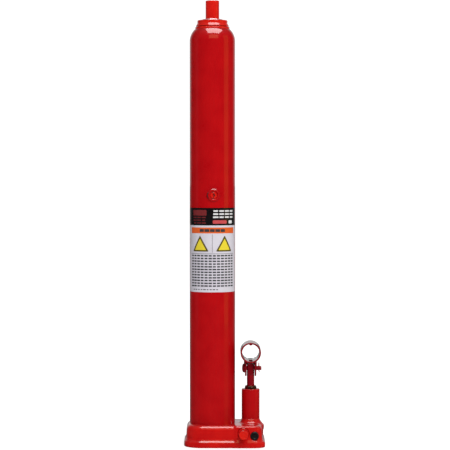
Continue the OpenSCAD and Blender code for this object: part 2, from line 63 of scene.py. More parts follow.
# %% Places, in millimetres
def box_mm(node):
    low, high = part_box(node)
    return low / MM, high / MM


def centre_mm(node):
    low, high = box_mm(node)
    return (low + high) / 2


def radius_mm(node):
    low, high = box_mm(node)
    return (high.x - low.x) / 2


base_low, base_high = box_mm("base")
tube_low, tube_high = box_mm("reservoir_tube")
nut_low, nut_high = box_mm("tank_nut")
tip_high = box_mm("ram_tip")[1]
rod_low, rod_high = box_mm("ram_rod")
pump_high = box_mm("pump_cylinder")[1]
plunger_low, plunger_high = box_mm("plunger")
socket_low, socket_high = box_mm("handle_socket")
link_low, link_high = box_mm("link")
TUBE_R = radius_mm("reservoir_tube")
RAM_R = radius_mm("ram_rod")
PUMP_X = centre_mm("pump_cylinder").x
PUMP_R = radius_mm("pump_cylinder")
PIN_Z = centre_mm("plunger_pin").z
REAR_PIN = centre_mm("link_upper_pin")
LINK_FOOT = centre_mm("link_lower_pin")
print("pump axis at x =", round(PUMP_X, 2), "tube radius", round(TUBE_R, 2))

# %% [markdown]
# ## Helpers for turned pieces
# A lathe cuts a profile round an axis, and a Screw modifier could do the same. Here the rings are
# written directly, because each corner of a turned part has a small radius: rounding the profile
# first, with one extra point just past each arc, keeps the flats flat when they are shaded smooth.

# %% Round the corners of a profile
FILLET_STEPS = 5


def rounded(profile):
    """profile is a list of (r, z, fillet). Returns the points with every corner replaced by an arc."""
    points = []
    for i, (r, z, fillet) in enumerate(profile):
        here = Vector((r, z))
        if fillet <= 0 or i in (0, len(profile) - 1):
            points.append(here)
            continue
        before = Vector(profile[i - 1][:2]) - here
        after = Vector(profile[i + 1][:2]) - here
        half = before.angle(after) / 2
        cut = min(fillet / math.tan(half), before.length * 0.45, after.length * 0.45)
        start, end = here + before.normalized() * cut, here + after.normalized() * cut
        guard = min(0.12 * fillet + 0.05, cut * 0.5)
        points.append(start + before.normalized() * guard)
        for k in range(FILLET_STEPS + 1):
            t = k / FILLET_STEPS
            points.append(start * (1 - t) ** 2 + here * 2 * t * (1 - t) + end * t * t)
        points.append(end + after.normalized() * guard)
    return points


# %% Make a mesh piece and give it a body
def piece_from(name, verts_mm, faces, material, body="root", replaces=(), slot=None, sharp=None):
    """A finished piece: its object stays at the origin, and its place is in its mesh."""
    mesh = bpy.data.meshes.new(name)
    mesh.from_pydata([Vector(v) * MM for v in verts_mm], [], faces)
    return finish_piece(name, mesh, material, body, replaces, slot, sharp)


def finish_piece(name, mesh, material, body="root", replaces=(), slot=None, sharp=None):
    mesh.update()
    mesh.shade_smooth()
    if sharp:
        mesh.set_sharp_from_angle(angle=math.radians(sharp))
    mesh.materials.clear()
    mesh.materials.append(material)
    piece = bpy.data.objects.new(name, mesh)
    bpy.context.scene.collection.objects.link(piece)
    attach(piece, body)
    if replaces:
        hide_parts(*replaces)
    return piece


# %% Turn a profile round an axis
def turned(profile, sides):
    """A closed solid of revolution about Z: the profile runs from the axis, or round a bore, and back."""
    points = rounded(profile)
    hollow = min(p.x for p in points) > 1e-6
    verts, rings = [], []
    for p in points:
        if p.x < 1e-6:
            rings.append([len(verts)])
            verts.append(Vector((0, 0, p.y)))
            continue
        rings.append(list(range(len(verts), len(verts) + sides)))
        for k in range(sides):
            a = 2 * math.pi * k / sides
            verts.append(Vector((p.x * math.cos(a), p.x * math.sin(a), p.y)))
    pairs = list(zip(rings, rings[1:])) + ([(rings[-1], rings[0])] if hollow else [])
    faces = []
    for low, high in pairs:
        for k in range(sides):
            n = (k + 1) % sides
            if len(low) == 1 and len(high) == 1:
                continue
            if len(low) == 1:
                faces.append((low[0], high[n], high[k]))
            elif len(high) == 1:
                faces.append((low[k], low[n], high[0]))
            else:
                faces.append((low[k], low[n], high[n], high[k]))
    return verts, faces


UP = Matrix.Identity(4)
TO_FRONT = Matrix.Rotation(math.radians(90), 4, "X")
TO_RIGHT = Matrix.Rotation(math.radians(90), 4, "Y")


def placed(shape, x=0, y=0, z=0, turn=UP):
    verts, faces = shape
    return [turn @ v + Vector((x, y, z)) for v in verts], faces


def turned_piece(name, profile, sides, material, at=(0, 0, 0), turn=UP, **where):
    """A turned piece with its own axis moved to at. where holds the words that piece_from takes."""
    return piece_from(name, *placed(turned(profile, sides), *at, turn), material, **where)


# %% [markdown]
# ## Helpers for cast and forged pieces
# A casting has no sharp corners: every wall runs into the next through a fillet, and the fillets
# meet each other. Bevels struggle with that. A distance field doesn't: each wall is a formula that
# says how far a point is from it, and a smooth minimum of two formulas is a fillet. The surface
# where the distance is zero is then meshed on a grid and pulled exactly onto the formula.

# %% Distance formulas, in millimetres
def smooth_join(a, b, k):
    """The union of two shapes, with a fillet about k wide where they meet."""
    h = np.clip(0.5 + 0.5 * (b - a) / k, 0, 1)
    return b * (1 - h) + a * h - k * h * (1 - h)


def smooth_cut(a, b, k):
    """Shape a with shape b taken out of it."""
    return -smooth_join(-a, b, k)


def thick(flat, across, low, high, edge):
    """A flat outline given a thickness from low to high, with rounded edges."""
    u = flat + edge
    w = np.abs(across - (low + high) / 2) - (high - low) / 2 + edge
    return np.minimum(np.maximum(u, w), 0) + np.hypot(np.maximum(u, 0), np.maximum(w, 0)) - edge


def plan(x, y, low, high, r_left, r_right):
    """A rectangle whose left and right corners have their own radii."""
    cx, cy = (low[0] + high[0]) / 2, (low[1] + high[1]) / 2
    r = np.where(x > cx, r_right, r_left)
    qx = np.abs(x - cx) - (high[0] - low[0]) / 2 + r
    qy = np.abs(y - cy) - (high[1] - low[1]) / 2 + r
    return np.minimum(np.maximum(qx, qy), 0) + np.hypot(np.maximum(qx, 0), np.maximum(qy, 0)) - r


def strap(u, v, a, ra, b, rb):
    """Two discs of different sizes and the straight web between them."""
    along = np.array(b, float) - np.array(a, float)
    length = np.hypot(*along)
    t = along / length
    px, py = u - a[0], v - a[1]
    s = px * t[0] + py * t[1]
    q = np.abs(px * t[1] - py * t[0])
    slope = (ra - rb) / length
    level = math.sqrt(1 - slope * slope)
    k = -slope * q + level * s
    side = q * level + s * slope - ra
    past = np.where(k > level * length, np.hypot(q, s - length) - rb, side)
    return np.where(k < 0, np.hypot(q, s) - ra, past)


# %% Mesh a distance field
def quads_round_edges(inside, number):
    """One quad across each grid edge whose ends lie on different sides of the surface."""
    faces = []
    for axis in range(3):
        u, v = (axis + 1) % 3, (axis + 2) % 3
        lower = [slice(None)] * 3
        upper = [slice(None)] * 3
        lower[axis], upper[axis] = slice(0, -1), slice(1, None)
        here, there = inside[tuple(lower)], inside[tuple(upper)]
        cell = np.argwhere(here != there)
        cell = cell[(cell[:, u] > 0) & (cell[:, v] > 0)]
        out = here[tuple(cell.T)]
        corners = []
        for du, dv in ((0, 0), (1, 0), (1, 1), (0, 1)):
            c = cell.copy()
            c[:, u] -= du
            c[:, v] -= dv
            corners.append(number[tuple(c.T)])
        quad = np.stack(corners, 1)
        quad[~out] = quad[~out][:, ::-1]
        faces.append(quad)
    return np.concatenate(faces)


def settle(field, points, rounds=3):
    """Pulls points onto the surface along the field's slope."""
    step = 0.02
    for _ in range(rounds):
        d = field(points)
        change = [field(points + step * e) - field(points - step * e) for e in np.eye(3)]
        slope = np.stack(change, 1) / (2 * step)
        size = np.maximum((slope ** 2).sum(1), 0.2)
        points = points - np.clip(d / size, -1, 1)[:, None] * slope
    return points


def cast(field, low, high, cell):
    """Vertices and faces of the surface where field is zero, inside the box from low to high."""
    axes = [np.arange(low[i] - 2 * cell, high[i] + 2.5 * cell, cell) for i in range(3)]
    grid = np.stack(np.meshgrid(*axes, indexing="ij"), -1)
    inside = field(grid.reshape(-1, 3)).reshape(grid.shape[:3]) < 0
    nx, ny, nz = (n - 1 for n in inside.shape)
    count = sum(inside[i:nx + i, j:ny + j, k:nz + k].astype(int)
                for i in (0, 1) for j in (0, 1) for k in (0, 1))
    active = (count > 0) & (count < 8)
    number = np.full(active.shape, -1)
    number[active] = np.arange(active.sum())
    points = grid[:-1, :-1, :-1][active] + cell / 2
    faces = quads_round_edges(inside, number)
    edges = np.concatenate([faces[:, [0, 1]], faces[:, [1, 2]], faces[:, [2, 3]], faces[:, [3, 0]]])
    for _ in range(4):
        total = np.zeros_like(points)
        near = np.zeros(len(points))
        for a, b in (edges.T, edges.T[::-1]):
            np.add.at(total, a, points[b])
            np.add.at(near, a, 1)
        points = settle(field, 0.4 * points + 0.6 * total / near[:, None], 2)
    return [Vector(p) for p in settle(field, points)], faces.tolist()


# %% [markdown]
# ## Shader groups
# The whole jack is dipped in one enamel, so the ripple of the paint, the grain of the casting
# under it and the thin paint along the edges are built once as groups with named sockets. A group
# gives out only masks, colours and heights. Each material keeps its own Principled shader.

# %% Small helpers for node trees
def add(tree, kind, **values):
    """A node with its sockets set by name, and its settings by attribute."""
    made = tree.nodes.new(kind)
    for name, value in values.items():
        if hasattr(made, name) and name not in made.inputs:
            setattr(made, name, value)
    for name, value in values.items():
        key = name.replace("_", " ")
        if key in made.inputs:
            put(tree, made.inputs[key], value)
    return made


def put(tree, entry, value):
    """Links value into a socket if it is a socket, or else sets it as a constant."""
    if isinstance(value, bpy.types.NodeSocket):
        tree.links.new(value, entry)
    else:
        entry.default_value = value


def maths(tree, operation, *values, clamp=False):
    made = tree.nodes.new("ShaderNodeMath")
    made.operation = operation
    made.use_clamp = clamp
    for entry, value in zip(made.inputs, values):
        put(tree, entry, value)
    return made.outputs[0]


def mixed(tree, factor, a, b):
    made = tree.nodes.new("ShaderNodeMix")
    made.data_type = "RGBA"
    put(tree, made.inputs["Factor"], factor)
    put(tree, made.inputs[6], a)
    put(tree, made.inputs[7], b)
    return made.outputs[2]


def ranged(tree, value, low, high, to_low=0.0, to_high=1.0):
    made = tree.nodes.new("ShaderNodeMapRange")
    made.interpolation_type = "SMOOTHSTEP"
    names = ("Value", "From Min", "From Max", "To Min", "To Max")
    for name, v in zip(names, (value, low, high, to_low, to_high)):
        put(tree, made.inputs[name], v)
    return made.outputs["Result"]


def noise(tree, place, scale, detail=2.0, rough=0.5):
    made = add(tree, "ShaderNodeTexNoise", Scale=scale, Detail=detail, Roughness=rough)
    tree.links.new(place, made.inputs["Vector"])
    return made.outputs["Fac"]


def new_group(name, inputs, outputs):
    tree = bpy.data.node_groups.new(name, "ShaderNodeTree")
    for label, value in inputs:
        kind = "NodeSocketColor" if isinstance(value, tuple) else "NodeSocketFloat"
        tree.interface.new_socket(label, in_out="INPUT", socket_type=kind).default_value = value
    for label, kind in outputs:
        tree.interface.new_socket(label, in_out="OUTPUT", socket_type=kind)
    return tree, tree.nodes.new("NodeGroupInput"), tree.nodes.new("NodeGroupOutput")


def place_group(tree, group, **values):
    made = tree.nodes.new("ShaderNodeGroup")
    made.node_tree = group
    for name, value in values.items():
        put(tree, made.inputs[name.replace("_", " ")], value)
    return made


# %% The paint's own relief
# Orange peel is the fine ripple of a sprayed film. The grain below it is the sand of the mould,
# which shows through only on castings. Runs are long soft waves where the wet film sagged.
peel_tree, peel_in, peel_out = new_group(
    "Paint relief", [("Peel size", 0.003), ("Peel depth", 0.4), ("Grain size", 0.0015), ("Grain depth", 0.0),
                     ("Run depth", 0.3)], [("Height", "NodeSocketFloat")])
where = peel_tree.nodes.new("ShaderNodeTexCoord").outputs["Object"]
peel = noise(peel_tree, where, maths(peel_tree, "DIVIDE", 1.0, peel_in.outputs["Peel size"]), 1.5, 0.4)
grain = noise(peel_tree, where, maths(peel_tree, "DIVIDE", 1.0, peel_in.outputs["Grain size"]), 3.0, 0.6)
stretched = add(peel_tree, "ShaderNodeMapping", Scale=(70, 70, 7))
peel_tree.links.new(where, stretched.inputs["Vector"])
runs = noise(peel_tree, stretched.outputs[0], 1.0, 1.0, 0.4)
height = maths(peel_tree, "MULTIPLY", peel, peel_in.outputs["Peel depth"])
height = maths(peel_tree, "ADD", height, maths(peel_tree, "MULTIPLY", grain, peel_in.outputs["Grain depth"]))
height = maths(peel_tree, "ADD", height, maths(peel_tree, "MULTIPLY", runs, peel_in.outputs["Run depth"]))
peel_tree.links.new(height, peel_out.inputs["Height"])

# %% Thin edges and shop dust
# Wet paint draws back from an edge, so it is thinner there, and handling rubs it first. A Bevel
# node compares the rounded normal with the true one: where they differ, there is an edge.
edge_tree, edge_in, edge_out = new_group(
    "Edge and dust", [("Edge width", 0.0012), ("Edge strength", 0.6), ("Dust", 0.15)],
    [("Edge", "NodeSocketFloat"), ("Dust", "NodeSocketFloat"), ("Mottle", "NodeSocketFloat")])
where = edge_tree.nodes.new("ShaderNodeTexCoord").outputs["Object"]
bevel = edge_tree.nodes.new("ShaderNodeBevel")
bevel.samples = 4
edge_tree.links.new(edge_in.outputs["Edge width"], bevel.inputs["Radius"])
geometry = edge_tree.nodes.new("ShaderNodeNewGeometry")
facing = edge_tree.nodes.new("ShaderNodeVectorMath")
facing.operation = "DOT_PRODUCT"
edge_tree.links.new(bevel.outputs[0], facing.inputs[0])
edge_tree.links.new(geometry.outputs["Normal"], facing.inputs[1])
edge_mask = ranged(edge_tree, facing.outputs["Value"], 0.995, 0.86)
broken = ranged(edge_tree, noise(edge_tree, where, 260.0, 4.0, 0.65), 0.42, 0.66)
edge_mask = maths(edge_tree, "MULTIPLY", edge_mask, broken)
edge_mask = maths(edge_tree, "MULTIPLY", edge_mask, edge_in.outputs["Edge strength"], clamp=True)
upward = edge_tree.nodes.new("ShaderNodeSeparateXYZ")
edge_tree.links.new(geometry.outputs["Normal"], upward.inputs[0])
specks = ranged(edge_tree, noise(edge_tree, where, 900.0, 3.0, 0.7), 0.60, 0.74)
settled = ranged(edge_tree, upward.outputs["Z"], 0.2, 1.0)
dust_mask = maths(edge_tree, "MULTIPLY", maths(edge_tree, "ADD", specks, 0.25), settled)
dust_mask = maths(edge_tree, "MULTIPLY", dust_mask, edge_in.outputs["Dust"], clamp=True)
edge_tree.links.new(edge_mask, edge_out.inputs["Edge"])
edge_tree.links.new(dust_mask, edge_out.inputs["Dust"])
edge_tree.links.new(noise(edge_tree, where, 38.0, 3.0, 0.55), edge_out.inputs["Mottle"])


# %% [markdown]
# ## Materials
# Enamel is colour in the film and gloss on top of it, so the Principled shader gets a strong coat
# over a fairly rough coloured base. Bare metal gets its look from the marks of the tool that cut
# it: rings on turned faces, fine lines along a ground ram. Rubber and moulded plastic stay matt.

# %% A blank Principled material
def new_material(name, colour, **constants):
    material = bpy.data.materials.new(name)
    material.use_nodes = True
    tree = material.node_tree
    shader = tree.nodes["Principled BSDF"]
    shader.inputs["Base Color"].default_value = (*colour, 1)
    for key, value in constants.items():
        shader.inputs[key.replace("_", " ")].default_value = value
    material.diffuse_color = (*colour, 1)
    return material, tree, shader


def bumped(tree, shader, height, distance):
    bump = tree.nodes.new("ShaderNodeBump")
    bump.inputs["Strength"].default_value = 1.0
    bump.inputs["Distance"].default_value = distance
    tree.links.new(height, bump.inputs["Height"])
    tree.links.new(bump.outputs["Normal"], shader.inputs["Normal"])


# %% Red enamel, on tube and on castings
def enamel(name, deep, bright, grain=0.0, peel=0.45, runs=0.5):
    material, tree, shader = new_material(name, deep, Roughness=0.32, Coat_Weight=1.0, Coat_Roughness=0.045,
                                          Coat_IOR=1.5, Specular_IOR_Level=0.06)
    marks = place_group(tree, edge_tree, Edge_width=0.0010, Edge_strength=0.5, Dust=0.1)
    film = ranged(tree, marks.outputs["Mottle"], 0.30, 0.70)
    colour = mixed(tree, film, (*deep, 1), (*bright, 1))
    thin = tuple(min(1, 0.6 * c + 0.10) for c in bright)
    colour = mixed(tree, marks.outputs["Edge"], colour, (*thin, 1))
    colour = mixed(tree, marks.outputs["Dust"], colour, (0.42, 0.33, 0.30, 1))
    tree.links.new(colour, shader.inputs["Base Color"])
    rough = ranged(tree, marks.outputs["Mottle"], 0.2, 0.8, 0.26, 0.40)
    tree.links.new(maths(tree, "ADD", rough, marks.outputs["Dust"]), shader.inputs["Roughness"])
    relief = place_group(tree, peel_tree, Peel_size=0.0026, Peel_depth=peel, Grain_size=0.0013,
                         Grain_depth=grain, Run_depth=runs)
    bumped(tree, shader, relief.outputs["Height"], 0.00006)
    return material


tube_enamel = enamel("tube enamel", (0.345, 0.0008, 0.0028), (0.385, 0.0012, 0.0028))
cast_enamel = enamel("cast enamel", (0.420, 0.0022, 0.0030), (0.520, 0.0050, 0.0035),
                     grain=0.9, peel=0.6, runs=0.9)
nut_enamel = enamel("nut enamel", (0.500, 0.0060, 0.0030), (0.580, 0.0100, 0.0035), grain=0.2)
# The socket, its key, the plunger and the cross pin get a darker copy of the same red enamel. The darkening
# is painted shade: the real linkage wears the same red as the tube.
shaded_enamel = enamel("linkage enamel with painted shade", (0.170, 0.0008, 0.0055), (0.230, 0.0010, 0.0060), peel=0.6)

# %% Satin black paint on the link
black_paint, tree, shader = new_material("link black", (0.012, 0.012, 0.013), Roughness=0.38, Coat_Weight=0.3)
marks = place_group(tree, edge_tree, Edge_width=0.0008, Edge_strength=0.8, Dust=0.2)
colour = mixed(tree, marks.outputs["Edge"], (0.012, 0.012, 0.013, 1), (0.10, 0.09, 0.085, 1))
colour = mixed(tree, marks.outputs["Dust"], colour, (0.25, 0.22, 0.20, 1))
tree.links.new(colour, shader.inputs["Base Color"])
relief = place_group(tree, peel_tree, Peel_size=0.0015, Peel_depth=0.4, Grain_size=0.0007, Grain_depth=0.3)
bumped(tree, shader, relief.outputs["Height"], 0.00004)


# %% Metal with tool marks
def tool_marked(name, colour, axis_mm, rough, ring_size, ring_depth,
                stain=(0.2, 0.17, 0.14), stain_amount=0.25, metal=1.0):
    """Bare metal turned round a Z axis through axis_mm: fine rings and a little oil stain."""
    material, tree, shader = new_material(name, colour, Metallic=metal, Roughness=rough)
    place = tree.nodes.new("ShaderNodeTexCoord").outputs["Object"]
    centred = add(tree, "ShaderNodeMapping", Location=(-axis_mm[0] * MM, -axis_mm[1] * MM, 0))
    tree.links.new(place, centred.inputs["Vector"])
    split = tree.nodes.new("ShaderNodeSeparateXYZ")
    tree.links.new(centred.outputs[0], split.inputs[0])
    reach = maths(tree, "SQRT", maths(tree, "ADD", maths(tree, "POWER", split.outputs["X"], 2.0),
                                      maths(tree, "POWER", split.outputs["Y"], 2.0)))
    lines = maths(tree, "ADD", reach, split.outputs["Z"])
    joined = tree.nodes.new("ShaderNodeCombineXYZ")
    tree.links.new(maths(tree, "DIVIDE", lines, ring_size), joined.inputs["X"])
    marks = noise(tree, joined.outputs[0], 1.0, 3.0, 0.7)
    patch = ranged(tree, noise(tree, place, 120.0, 4.0, 0.6), 0.45, 0.75, 0.0, stain_amount)
    tree.links.new(mixed(tree, patch, (*colour, 1), (*stain, 1)), shader.inputs["Base Color"])
    tree.links.new(ranged(tree, marks, 0.3, 0.7, rough * 0.75, rough * 1.3), shader.inputs["Roughness"])
    bumped(tree, shader, marks, ring_depth)
    return material


steel = tool_marked("turned steel", (0.56, 0.56, 0.57), (0, 0), 0.28, 0.0004, 0.00001, metal=0.75)
# The ram is only partly metallic. The rest of its grey is diffuse colour, a painted reflection that keeps the
# plated ram from going black in the dim room in front.
ground_ram = tool_marked("ground ram", (0.70, 0.70, 0.72), (0, 0), 0.16, 0.0002, 0.000003,
                         stain_amount=0.06, metal=0.6)
# The gland's brown colour and its brown patches are partly oiled steel and partly a painted reflection of the
# red enamel round it.
dark_steel = tool_marked("oiled gland steel and painted sheen", (0.20, 0.12, 0.085), (PUMP_X, 0), 0.30, 0.0005, 0.00001,
                         stain=(0.26, 0.12, 0.06), stain_amount=0.5)
bronze = tool_marked("turned bronze", (0.55, 0.34, 0.15), (0, 0), 0.30, 0.0004, 0.00001)
copper = tool_marked("soft copper", (0.62, 0.28, 0.17), (0, 0), 0.35, 0.0006, 0.00001)


# %% Rubber, moulded plastic and printed vinyl
def soft_material(name, colour, rough, grain_size, grain_depth, coat=0.0):
    material, tree, shader = new_material(name, colour, Roughness=rough, Coat_Weight=coat,
                                          Coat_Roughness=0.12)
    place = tree.nodes.new("ShaderNodeTexCoord").outputs["Object"]
    fine = noise(tree, place, 1 / grain_size, 3.0, 0.6)
    broad = noise(tree, place, 45.0, 3.0, 0.5)
    lighter = tuple(min(1, c * 1.16 + 0.003) for c in colour)
    tree.links.new(mixed(tree, broad, (*colour, 1), (*lighter, 1)), shader.inputs["Base Color"])
    tree.links.new(ranged(tree, broad, 0.2, 0.8, rough * 0.85, rough * 1.15), shader.inputs["Roughness"])
    bumped(tree, shader, fine, grain_depth)
    return material


rubber = soft_material("seal rubber", (0.014, 0.014, 0.015), 0.55, 0.0006, 0.00003)
wear_plastic = soft_material("wear ring resin", (0.22, 0.10, 0.05), 0.5, 0.0006, 0.00003)
black_plastic = soft_material("cap plastic", (0.004, 0.004, 0.005), 0.42, 0.0005, 0.00002)
vinyl_black = soft_material("black vinyl", (0.003, 0.002, 0.003), 0.30, 0.0012, 0.00001, coat=0.6)
vinyl_white = soft_material("white vinyl", (0.50, 0.48, 0.53), 0.34, 0.0012, 0.00001, coat=0.5)
ink_olive = soft_material("olive ink", (0.075, 0.055, 0.005), 0.38, 0.0010, 0.00001, coat=0.3)
ink_orange = soft_material("orange ink", (0.58, 0.085, 0.008), 0.34, 0.0010, 0.00001, coat=0.5)
ink_yellow = soft_material("yellow ink", (0.62, 0.50, 0.02), 0.34, 0.0010, 0.00001, coat=0.5)
ink_grey = soft_material("grey ink", (0.020, 0.020, 0.024), 0.40, 0.0010, 0.00001, coat=0.3)
ink_dark = soft_material("dark ink", (0.030, 0.032, 0.035), 0.40, 0.0010, 0.00001, coat=0.3)
ink_pale = soft_material("pale ink", (0.55, 0.55, 0.55), 0.36, 0.0010, 0.00001, coat=0.4)
ink_red = soft_material("red ink", (0.42, 0.045, 0.05), 0.36, 0.0010, 0.00001, coat=0.4)
ink_maroon = soft_material("maroon ink", (0.15, 0.012, 0.014), 0.36, 0.0010, 0.00001, coat=0.4)

# %% Finish for every CAD node
# Pieces that stay hidden inside keep their CAD shape, and still get the finish of their slot.
slot_finish = {
    "red_enamel": tube_enamel, "red_casting": cast_enamel, "orange_red_enamel": nut_enamel,
    "black_paint": black_paint, "dark_steel": dark_steel, "steel": steel, "ground_ram": ground_ram,
    "bronze": bronze, "copper": copper, "black_rubber": rubber, "wear_plastic": wear_plastic,
    "black_plastic": black_plastic, "label_black": vinyl_black, "label_white": vinyl_white,
}
for part in frame["record"]["subparts"]:
    node = frame["nodes"][part["node"]]
    node.data.materials.clear()
    node.data.materials.append(slot_finish[part["material_slot"]])
print("finished", len(frame["nodes"]), "CAD nodes")

# %% [markdown]
# ## The cast base
# The real base is a sand casting: a flat foot, a block with sloping sides so that it leaves the
# mould, a thicker lump for the valves, a boss for the pump and two ears for the link. Booleans and
# bevels would give it machined corners, so it is written as a distance field. The wide foot comes
# first, and each wall is then joined to it with its own fillet.

# %% The base as a distance field
FOOT_H = 7.5
BLOCK_TOP = 30.0
DRAFT = 1.2
FOOT_HALF, BODY_HALF = 45, 41.0
BODY_RIGHT = 68.5
BODY_LOW, BODY_HIGH = (base_low.x + 3.2, -BODY_HALF), (BODY_RIGHT, BODY_HALF)
VALVES_LOW, VALVES_HIGH = (30.0, -42.6), (BODY_RIGHT - 2.5, -24.0)
SHOULDER_R = 8
BOSS_LOW, BOSS_TOP = 20, 36
CHAMBER_R = 5.8
CAP = centre_mm("safety_cap")
CAP_R = radius_mm("safety_cap")
GLAND = centre_mm("release_gland")
SIDE, SIDE_FACE = centre_mm("discharge_plug"), 67.2
EAR_REACH, EAR_GAP, EAR_R = 8.5, 4.0, 7.5


def base_field(p):
    x, y, z = p.T
    slope = DRAFT * np.clip((BLOCK_TOP - z) / (BLOCK_TOP - FOOT_H), 0, 1.3)
    foot = thick(plan(x, y, (base_low.x, -FOOT_HALF), (base_high.x, FOOT_HALF), 25, 12), z, 0, FOOT_H, 1.7)
    body = thick(plan(x, y, BODY_LOW, BODY_HIGH, 24, 10.5) - slope, z, -6, BLOCK_TOP, 6.0)
    valves = thick(plan(x, y, VALVES_LOW, VALVES_HIGH, 5, 9) - slope, z, -6, BLOCK_TOP, 2.6)
    over_x = np.maximum(x - VALVES_HIGH[0] + SHOULDER_R, 0)
    over_z = np.maximum(z - BLOCK_TOP + SHOULDER_R, 0)
    shoulder = np.hypot(over_x, over_z) - SHOULDER_R
    valves = np.maximum(valves, shoulder)
    boss_r = PUMP_R + 3.4 * np.clip((BOSS_TOP - z) / 6, 0, 1.5) ** 1.5
    boss = thick(np.hypot(x - PUMP_X, y) - boss_r, z, BOSS_LOW, BOSS_TOP, 0.5)
    ears = strap(y, z, (LINK_FOOT.y, LINK_FOOT.z), EAR_R, (LINK_FOOT.y, BLOCK_TOP - 6), EAR_R + 1.2)
    aside = np.abs(x - PUMP_X)
    ears = thick(ears, aside, EAR_GAP, EAR_REACH, 0.8)
    whole = np.maximum(smooth_join(smooth_join(body, valves, 1.6), foot, 6.0), -z)
    whole = smooth_join(whole, boss, 2.2)
    whole = smooth_join(whole, ears, 2.0)
    recess = thick(np.hypot(x - CAP.x, z - CAP.z) - CAP_R - 0.35, y, -60, -40.5, 0.1)
    spot = thick(np.hypot(x - GLAND.x, z - GLAND.z) - 7.9, y, -60, -41.4, 0.1)
    side_spot = thick(np.hypot(y - SIDE.y, z - SIDE.z) - 5.4, x, SIDE_FACE, 90, 0.1)
    chamber = thick(np.hypot(x - PUMP_X, y) - CHAMBER_R, z, 14, 60, 0.1)
    for cut, soft in ((recess, 0.8), (spot, 0.5), (side_spot, 0.5), (chamber, 0.2)):
        whole = smooth_cut(whole, cut, soft)
    return whole


base = piece_from("base_casting", *cast(base_field, base_low, base_high, 0.85), cast_enamel,
                  replaces=["base"], slot="red_casting")
print("base casting:", len(base.data.polygons), "faces")

# %% [markdown]
# ## The reservoir and its nut
# The tube is drawn steel, spun over at the top into a shoulder. It is one long profile: straight
# wall, an arc that leaves the wall without a corner, and a flat lip that the tank nut clamps.

# %% Reservoir tube
SHOULDER_Z = 563.5
RING_R = 24.0
NECK_R = 21.5
TUBE_WALL = 2.5


def arc_points(centre, r, start, end, steps):
    """Points of an arc in the profile's plane, from one angle to the other, in degrees."""
    turns = [math.radians(start + (end - start) * k / steps) for k in range(steps + 1)]
    return [(centre[0] + r * math.cos(a), centre[1] + r * math.sin(a), 0) for a in turns]


rise, inward = tube_high.z - SHOULDER_Z, TUBE_R - RING_R
arc_r = (rise ** 2 + inward ** 2) / (2 * inward)
sweep = math.degrees(math.asin(rise / arc_r))
outer_arc = arc_points((TUBE_R - arc_r, SHOULDER_Z), arc_r, 0, sweep, 18)
inner_arc = arc_points((TUBE_R - arc_r, SHOULDER_Z - 2), arc_r - TUBE_WALL, sweep, 0, 10)
walls = [(TUBE_R, tube_low.z + (SHOULDER_Z - tube_low.z) * k / 12, 0) for k in range(12)]
profile = walls + outer_arc + [(NECK_R, tube_high.z, 0), (NECK_R, tube_high.z - 3.2, 0)]
profile += [p for p in inner_arc if p[0] > NECK_R + 0.1] + [(TUBE_R - TUBE_WALL, tube_low.z, 0)]
tube = turned_piece("reservoir_shell", profile, 256, tube_enamel,
                    replaces=["reservoir_tube"], slot="red_enamel", sharp=50)
print("reservoir:", len(tube.data.polygons), "faces")

# %% Tank nut
# The nut is turned: a step that covers the lip of the tube, a narrow groove, a short cone and a
# head with a soft edge. The ram passes through it, past a wiper.
HEAD_R, GROOVE_R, STEP_Z = 21.15, 20.7, 583.2
nut_bore = RAM_R + 0.3
profile = [(19, nut_low.z, 0), (19, tube_high.z, 0), (RING_R, tube_high.z, 0.2), (RING_R, STEP_Z, 0.9),
           (GROOVE_R, STEP_Z, 0.4), (GROOVE_R, STEP_Z + 1, 0.3), (HEAD_R + 2.2, STEP_Z + 1, 0.6),
           (HEAD_R - 0.2, STEP_Z + 5.2, 2.0), (HEAD_R, nut_high.z, 2.2), (18.6, nut_high.z, 0.3),
           (18.2, nut_high.z - 0.5, 0.2), (nut_bore, nut_high.z - 0.5, 0.2), (nut_bore, nut_low.z, 0)]
turned_piece("tank_nut_turned", profile, 192, nut_enamel,
             replaces=["tank_nut"], slot="orange_red_enamel", sharp=60)

# %% Ram and spigot
# The ram is ground and plated for its whole length. Only its painted shoulder shows while the jack
# is closed; the spigot above takes the adapter of a crane or a saddle.
profile = [(0, rod_low.z + 41, 0), (RAM_R, rod_low.z + 41, 0.8), (RAM_R, rod_high.z - 3.2, 0.02),
           (RAM_R - 0.15, rod_high.z - 3.0, 0.02), (RAM_R - 0.15, rod_high.z - 2.2, 0.05),
           (RAM_R, rod_high.z - 2.0, 0.02), (RAM_R, rod_high.z, 1.2), (9.6, rod_high.z, 0.3),
           (0, rod_high.z, 0)]
turned_piece("ram_ground", profile, 160, ground_ram,
             body="ram", replaces=["ram_rod"], slot="ground_ram", sharp=50)
SPIGOT_R = radius_mm("ram_tip")
profile = [(0, rod_high.z - 0.6, 0), (RAM_R - 0.9, rod_high.z - 0.6, 0), (RAM_R - 0.5, rod_high.z - 0.1, 0.3),
           (RAM_R - 1.8, rod_high.z + 0.25, 0.4), (SPIGOT_R + 0.5, rod_high.z + 0.25, 0.3),
           (SPIGOT_R, rod_high.z + 1.0, 0.5), (SPIGOT_R, tip_high.z, 1.3), (0, tip_high.z, 0)]
turned_piece("ram_spigot_painted", profile, 128, nut_enamel,
             body="ram", replaces=["ram_tip"], slot="red_enamel", sharp=50)
print("ram rises from", round(rod_low.z, 1), "to", round(tip_high.z, 1), "mm")

# %% [markdown]
# ## The filler
# A steel boss is welded into the side of the tube, and a plug with a socket closes it. Both are
# turned, then laid over so that their axis points forward and a few degrees left.

